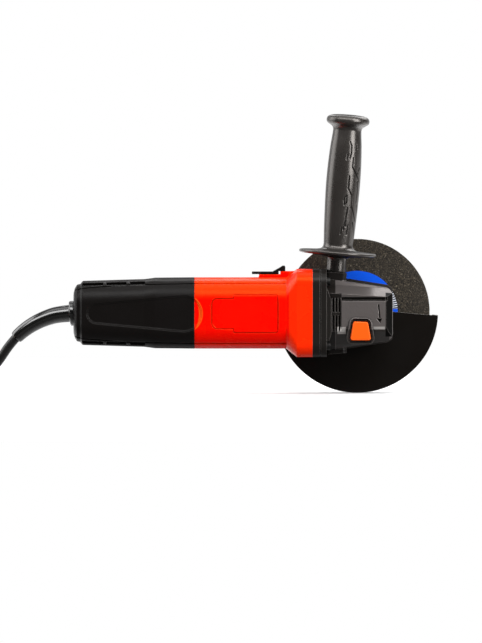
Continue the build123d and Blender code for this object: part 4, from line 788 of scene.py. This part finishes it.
# engraved strokes: (degrees from the side away from the disc round to the nose, height)
grip_strokes = [
    [(14, 112), (21, 109), (21, 102), (16, 98)], [(8, 102), (5, 97)], [(40, 111), (47, 106)],
    [(31, 99), (29, 91), (44, 86), (66, 79)], [(64, 91), (53, 86)],
    [(19, 83), (19, 72), (36, 66), (37, 57)], [(54, 79), (60, 70), (58, 61)],
    [(13, 66), (7, 63), (9, 58), (16, 60), (15, 66)], [(22, 56), (19, 48), (21, 40)],
    [(38, 57), (48, 52), (64, 45)], [(62, 59), (72, 53)], [(17, 44), (13, 37)],
    [(50, 44), (62, 37), (70, 32)], [(7, 39), (4, 33)], [(30, 41), (27, 33)]]
stroke_half_width, stroke_depth = 0.42, 0.5
grip_mean_radius = 14.0
handle_columns = 264
neck_step, engraved_step, knob_step = 1.0, 0.42, 0.9


def engraving(angle, height):
    """Share of the strokes' depth: the bell exp(-(gap / half width)^2) of the nearest one.

    Gaps are measured on the unrolled grip. The strokes are on its half towards the nose, and
    once more as mirrored on the disc's side.
    """
    nearest = np.full(angle.shape, np.inf)
    around = grip_mean_radius * np.arcsin(np.clip(np.abs(np.sin(angle)), 0.0, 1.0))
    facing = np.sin(angle) > 0
    for stroke in grip_strokes:
        bends = np.array([(grip_mean_radius * math.radians(turn), level)
                          for turn, level in stroke])
        for start, end in zip(bends, bends[1:]):
            run = end - start
            along = ((around - start[0]) * run[0] + (height - start[1]) * run[1]) / (run @ run)
            along = np.clip(along, 0.0, 1.0)
            gap = np.hypot(around - start[0] - along * run[0], height - start[1] - along * run[1])
            nearest = np.minimum(nearest, np.where(facing, gap, np.inf))
    return np.exp(-(nearest / stroke_half_width) ** 2)


def side_handle():
    """Neck, dished hand stop, swelling engraved grip and end knob, turned about a leaning axis.

    Point (angle, height) = foot + (radius(height) - engraving) * (sin x' - cos y) + height * z',
    where x' and z' lean forward with the handle.
    """
    ends = [handle_profile.index((level, radius)) for level, radius in handle_profile
            if level in (grip_start, grip_end)]
    profile = np.concatenate([
        smooth_profile(handle_profile[:ends[0] + 1], neck_step)[:-1],
        smooth_profile(handle_profile[ends[0]:ends[1] + 1], engraved_step)[:-1],
        smooth_profile(handle_profile[ends[1]:], knob_step)])
    height, angle = np.meshgrid(profile[:, 0], full_turn(handle_columns), indexing="ij")
    cut = engraving(angle, height)
    radius = profile[:, 1][:, None] - stroke_depth * cut
    out, along = radius * np.sin(angle), -radius * np.cos(angle)
    lean_cos, lean_sin = math.cos(handle_lean), math.sin(handle_lean)
    x = handle_foot[0] + out * lean_cos + height * lean_sin
    z = handle_foot[2] - out * lean_sin + height * lean_cos
    top = at(handle_foot[0] + handle_top * lean_sin, 0.0, handle_foot[2] + handle_top * lean_cos)
    handle = ring_mesh("side_handle", at(x, along, z), end_pole=top)
    mask = handle.data.attributes.new("engraved", "FLOAT", "POINT")
    mask.data.foreach_set("value", np.append(cut.ravel(), 0.0))
    dress(handle, grip_black)
    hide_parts("side_handle_grip")
    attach(handle, "body")


disc_radius, disc_bore_radius, disc_near, disc_far = 62.5, 11.12, 46.0, 49.0
disc_chamfer, clamped_radius, grit_depth = 0.35, 35.5, 0.24
disc_columns, face_rings, rim_rings = 440, 30, 4


def abrasive_disc():
    """Bonded disc whose free faces and rim are roughened by seeded grit, always inwards.

    The rings follow the section round: near face out, rim, far face in, bore. Each point sinks
    by the grit's depth times the square of a random share: the rim along the radius, the faces
    along the axis.
    """
    rng = np.random.default_rng(7)
    free = np.linspace(clamped_radius, disc_radius - disc_chamfer, face_rings)
    near_face = [(radius, disc_near) for radius in (disc_bore_radius, *free)]
    across = np.linspace(disc_near + disc_chamfer, disc_far - disc_chamfer, rim_rings)
    rim = [(disc_radius, station) for station in across]
    far_face = [(radius, disc_far) for radius in (*free[::-1], disc_bore_radius)]
    section = np.array(near_face + rim + far_face)
    angle = full_turn(disc_columns)
    grit = rng.random((len(section), len(angle))) ** 2 * grit_depth
    grit[section[:, 0] <= clamped_radius] = 0.0
    on_rim = section[:, 0] > disc_radius - disc_chamfer / 2
    radius = section[:, :1] - np.where(on_rim[:, None], grit, 0.0)
    towards_middle = np.sign((disc_near + disc_far) / 2 - section[:, 1:])
    station = section[:, 1:] + np.where(on_rim[:, None], 0.0, grit) * towards_middle
    points = at(radius * np.cos(angle), station, radius * np.sin(angle))
    disc = ring_mesh("abrasive_disc", points, closed=True)
    dress(disc, abrasive)
    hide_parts("grinding_disc")
    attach(disc, "spindle_group")


side_handle()
abrasive_disc()


# ------------------------------------------------------------------ mains lead
# points of the route in mm, as at() takes them
cord_diameter = 8.0
floor_level = -69.6
coil_middle = (-371.0, -48.0)
coil_inner, coil_outer = 30.2, 47.8
coil_start, coil_end = math.radians(90.0), math.radians(170.0 + 360.0 * 6)
coil_layers, layer_rise, climb_share = 3, 8.1, 0.14
points_per_turn = 16
lead_rest = floor_level + cord_diameter / 2 + 0.1
lead_start = [(-229.0, 0.0, 0.0), (-252.0, 0.0, 0.0), (-270.0, 0.4, -5.4),
              (-285.5, 1.4, -14.6), (-297.5, 2.6, -27.0), (-306.5, 3.6, -41.0),
              (-317.0, 4.0, -53.5), (-331.0, 3.2, -62.0), (-346.0, 1.4, lead_rest)]
tail_level = floor_level + 24.4
# from the coil's middle at the tail's level, to the plug
tail_points = [(-25.5, -20.5, -0.8), (-15.0, -30.5, 3.0), (-1.5, -36.0, 4.6), (13.0, -35.5, 5.2),
               (25.5, -29.5, 6.6), (34.5, -19.5, 8.0), (39.0, -7.0, 8.25), (39.0, 5.0, 8.25)]


def coil_points():
    """Spiral about the coil's middle: in on the floor, out on the second layer, in on the third.

    The radius follows a triangle wave of the angle. The height rises by one layer where the
    wave turns back, over a seventh of a layer. The points stand off the spiral by half of what
    the spline cuts inside them.
    """
    count = round((coil_end - coil_start) / (2 * math.pi) * points_per_turn)
    angle = np.linspace(coil_start, coil_end, count)
    layers = (angle - coil_start) / (coil_end - coil_start) * coil_layers
    radius = coil_outer + (coil_inner - coil_outer) * np.abs((layers + 1) % 2 - 1)
    level = sum(np.clip((layers - turn) / climb_share + 0.5, 0.0, 1.0)
                for turn in range(1, coil_layers))
    shrink = math.cos(math.pi / points_per_turn) ** 0.5
    x = coil_middle[0] + radius / shrink * np.cos(angle)
    y = coil_middle[1] + radius / shrink * np.sin(angle)
    return np.stack([x, y, lead_rest + level * layer_rise], axis=1)


def lead_route():
    """Control points of the whole lead, in millimetres from the crossing of the axes."""
    tail = np.array(tail_points) + (*coil_middle, tail_level)
    return np.concatenate([np.array(lead_start), coil_points(), tail])


def nurbs_line(name, points):
    """Open NURBS curve of order 3 that ends on its first and last point."""
    curve = bpy.data.curves.new(name, "CURVE")
    curve.dimensions = "3D"
    spline = curve.splines.new("NURBS")
    spline.points.add(len(points) - 1)
    flat = np.ones((len(points), 4))
    flat[:, :3] = points
    spline.points.foreach_set("co", flat.ravel())
    spline.order_u = 3
    spline.use_endpoint_u = True
    spline.resolution_u = 5
    return curve


lead_curve = nurbs_line("mains_lead", at(*lead_route().T))
lead_curve.bevel_depth = MM * cord_diameter / 2
lead_curve.bevel_resolution = 6
lead_curve.use_fill_caps = True
mains_lead = add_object("mains_lead", lead_curve)
dress(mains_lead, rubber_black)
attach(mains_lead, "body")
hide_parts("cord_tube", "cord_coil", "cord_tail")


def middle_line(curve, steps):
    """Points of a curve's middle line in mm, read from the curve with no bevel."""
    bare = bpy.data.objects.new("bare line", curve.copy())
    bare.data.bevel_depth = 0.0
    bare.data.splines[0].resolution_u = steps
    mesh = bpy.data.meshes.new_from_object(bare)
    line = np.zeros(len(mesh.vertices) * 3)
    mesh.vertices.foreach_get("co", line)
    bpy.data.meshes.remove(mesh)
    bpy.data.curves.remove(bare.data)
    return (line.reshape(-1, 3) - axes_cross) / MM


# strain relief: (distance along the lead from the sleeve's foot, radius)
sleeve_profile = [(-1.0, 6.0), (-0.6, 10.0), (0.0, 10.5), (2.6, 10.5), (3.3, 10.2), (3.7, 9.0),
                  (3.8, 7.6), (5.0, 7.3), (20.0, 6.9), (40.0, 6.3), (53.0, 5.8), (54.6, 5.5),
                  (55.4, 4.9), (55.6, 4.05)]
sleeve_foot = -242.6
sleeve_step, sleeve_columns, line_steps, look_ahead = 0.8, 64, 60, 0.5


def strain_sleeve():
    """Rubber sleeve with its collar, tapering along the lead: rings square to the lead's line.

    Point (run, angle) = line(run) + radius(run) * (sin side + cos rise), where side is level,
    both are square to the line, and run is measured along it from the sleeve's foot.
    """
    line = middle_line(lead_curve, line_steps)
    line = line[:np.argmax(line[:, 0] < lead_start[-1][0])]
    run = np.concatenate([[0.0], np.cumsum(np.linalg.norm(np.diff(line, axis=0), axis=1))])
    run -= np.interp(-sleeve_foot, -line[:, 0], run)
    profile = smooth_profile(sleeve_profile, sleeve_step)

    def along(stations):
        """Points of the line at distances along it."""
        return np.stack([np.interp(stations, run, line[:, axis]) for axis in range(3)], axis=1)

    middle = along(profile[:, 0])
    heading = along(profile[:, 0] + look_ahead) - middle
    heading /= np.linalg.norm(heading, axis=1)[:, None]
    side = np.cross(heading, (0.0, 0.0, 1.0))
    side /= np.linalg.norm(side, axis=1)[:, None]
    rise = np.cross(side, heading)
    angle = full_turn(sleeve_columns)[None, :, None]
    rings = middle[:, None] + profile[:, 1][:, None, None] * (
        np.sin(angle) * side[:, None] + np.cos(angle) * rise[:, None])
    sleeve = ring_mesh("strain_sleeve", at(*np.moveaxis(rings, -1, 0)))
    dress(sleeve, rubber_gloss)
    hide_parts("strain_relief")
    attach(sleeve, "body")
    return sleeve


tie_turn = math.radians(-25.0)  # where it stands round the coil
tie_middle = ((coil_inner + coil_outer) / 2, floor_level + 12.9)  # out from the axis, and up
tie_half_size, tie_roundness = (13.6, 11.8), 0.4
tie_half_width, tie_thickness, tie_bevel, tie_columns = 4.5, 1.1, 0.3, 72


def lead_tie():
    """Strap round the coil: a rounded loop in the plane through the coil's axis.

    Loop point (u) = middle + half size * sign(c) |c|^roundness, with c the cosine and sine of u.
    """
    loop = full_turn(tie_columns)

    def path(grow):
        """Distances out and up of the loop, grown outwards."""
        return [middle + np.sign(wave) * np.abs(wave) ** tie_roundness * (half + grow)
                for middle, wave, half in zip(tie_middle, (np.cos(loop), np.sin(loop)),
                                              tie_half_size)]

    top_half = tie_half_width - tie_bevel
    bands = [(*path(grow), shift) for grow, shift in
             ((0.0, -tie_half_width), (tie_thickness, -top_half), (tie_thickness, top_half),
              (0.0, tie_half_width))]
    cos, sin = math.cos(tie_turn), math.sin(tie_turn)
    rings = np.stack([np.stack([coil_middle[0] + out * cos - shift * sin,
                                coil_middle[1] + out * sin + shift * cos, up], axis=-1)
                      for out, up, shift in bands])
    tie = ring_mesh("lead_tie", at(*np.moveaxis(rings, -1, 0)), closed=True)
    dress(tie, strap_black)
    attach(tie, "body")
    return tie


sleeve, tie = strain_sleeve(), lead_tie()
tuple(at(-246.0, 0.0, 0.0))


# ------------------------------------------------------------------ studio
def seen_white(tree, behind):
    """Two masks: what shows plain white, and what gloss mirrors from the dark front of the studio.

    The camera sees white, and so do gloss and glass where they mirror what is behind the tool.
    """
    path = add(tree, "ShaderNodeLightPath")
    mirrored = calc(tree, "MAXIMUM", path.outputs["Is Glossy Ray"],
                    path.outputs["Is Transmission Ray"])
    white = calc(tree, "MAXIMUM", path.outputs["Is Camera Ray"],
                 calc(tree, "MULTIPLY", mirrored, behind))
    return white, calc(tree, "SUBTRACT", mirrored, white, clamp=True)


def studio_material():
    """Pale floor that keeps the tool's shadow near it and runs out to plain white far off."""
    material, tree = empty_material("studio floor")
    place = object_place(tree)
    seen, shaded = seen_white(tree, ramp(tree, split(tree, place)["Y"], -0.10, 0.15))
    distance = vector_calc(tree, "LENGTH", place)
    pale, dark = rgb(0.28, 0.28, 0.28), rgb(0.06, 0.06, 0.06)
    tone = blend_colours(tree, seen, blend_colours(tree, shaded, pale, dark), rgb(0.9, 0.9, 0.9))
    matt = add(tree, "ShaderNodeBsdfDiffuse", {"Color": tone})
    lift = add(tree, "ShaderNodeEmission", {"Color": rgb(1.0, 1.0, 1.0),
                                            "Strength": calc(tree, "MULTIPLY", seen, 0.30)})
    near = add(tree, "ShaderNodeAddShader", {0: matt.outputs[0], 1: lift.outputs[0]})
    white = add(tree, "ShaderNodeEmission", {"Color": rgb(1.0, 1.0, 1.0), "Strength": 1.0})
    far_off = calc(tree, "MULTIPLY", seen, ramp(tree, distance, 0.45, 1.1))
    show(tree, add(tree, "ShaderNodeMixShader",
                   {0: far_off, 1: near.outputs[0], 2: white.outputs[0]}))
    return material


floor_reach, floor_gap = 6.0, 0.0002


def add_floor():
    """Large floor, a hair under the tool."""
    corners = [(floor_reach * x, floor_reach * y, floor_z - floor_gap)
               for x, y in ((-1, -1), (1, -1), (1, 1), (-1, 1))]
    mesh = bpy.data.meshes.new("studio_floor")
    mesh.from_pydata(corners, [], [(0, 1, 2, 3)])
    floor = add_object("studio_floor", mesh)
    dress(floor, studio_material())


tool_middle = (0.04, 0.0, 0.09)
softboxes = {  # place, width and height in metres, and power in watts
    "left softbox": ((-1.32, 0.24, 0.74), (1.1, 1.3), 13.0),
    "right softbox": ((1.10, -0.89, 0.66), (0.75, 1.3), 23.0),
    "front softbox": ((-0.25, -1.10, 1.20), (2.2, 0.6), 21.0),
    "top softbox": ((0.0, -0.15, 1.25), (1.6, 0.8), 5.0),
    "back softbox": ((0.40, 0.75, 0.95), (1.5, 0.6), 8.5),
}


def add_softbox(name, place, size, power):
    """Rectangular area lamp at a place, turned to the tool."""
    data = bpy.data.lights.new(name, "AREA")
    data.shape = "RECTANGLE"
    data.size, data.size_y = size
    data.energy = power
    aim_at(add_object(name, data), place, tool_middle)


def light_world():
    """White backdrop to the camera, and to gloss behind the tool; plain soft light elsewhere."""
    world = bpy.data.worlds.new("studio")
    bpy.context.scene.world = world
    world.use_nodes = True
    tree = world.node_tree
    tree.nodes.clear()
    place = add(tree, "ShaderNodeTexCoord").outputs["Generated"]
    seen, shaded = seen_white(tree, ramp(tree, split(tree, place)["Y"], 0.5, 0.98))
    dimmed = ramp(tree, shaded, 0.0, 1.0, 0.27, 0.03)
    soft = add(tree, "ShaderNodeBackground", {"Color": rgb(0.97, 0.985, 1.0), "Strength": dimmed})
    white = add(tree, "ShaderNodeBackground", {"Color": rgb(1.0, 1.0, 1.0), "Strength": 1.0})
    show(tree, add(tree, "ShaderNodeMixShader",
                   {0: seen, 1: soft.outputs[0], 2: white.outputs[0]}), "ShaderNodeOutputWorld")


add_floor()
light_world()
for name, (place, size, power) in softboxes.items():
    add_softbox(name, place, size, power)
bpy.context.scene.view_settings.view_transform = "Standard"
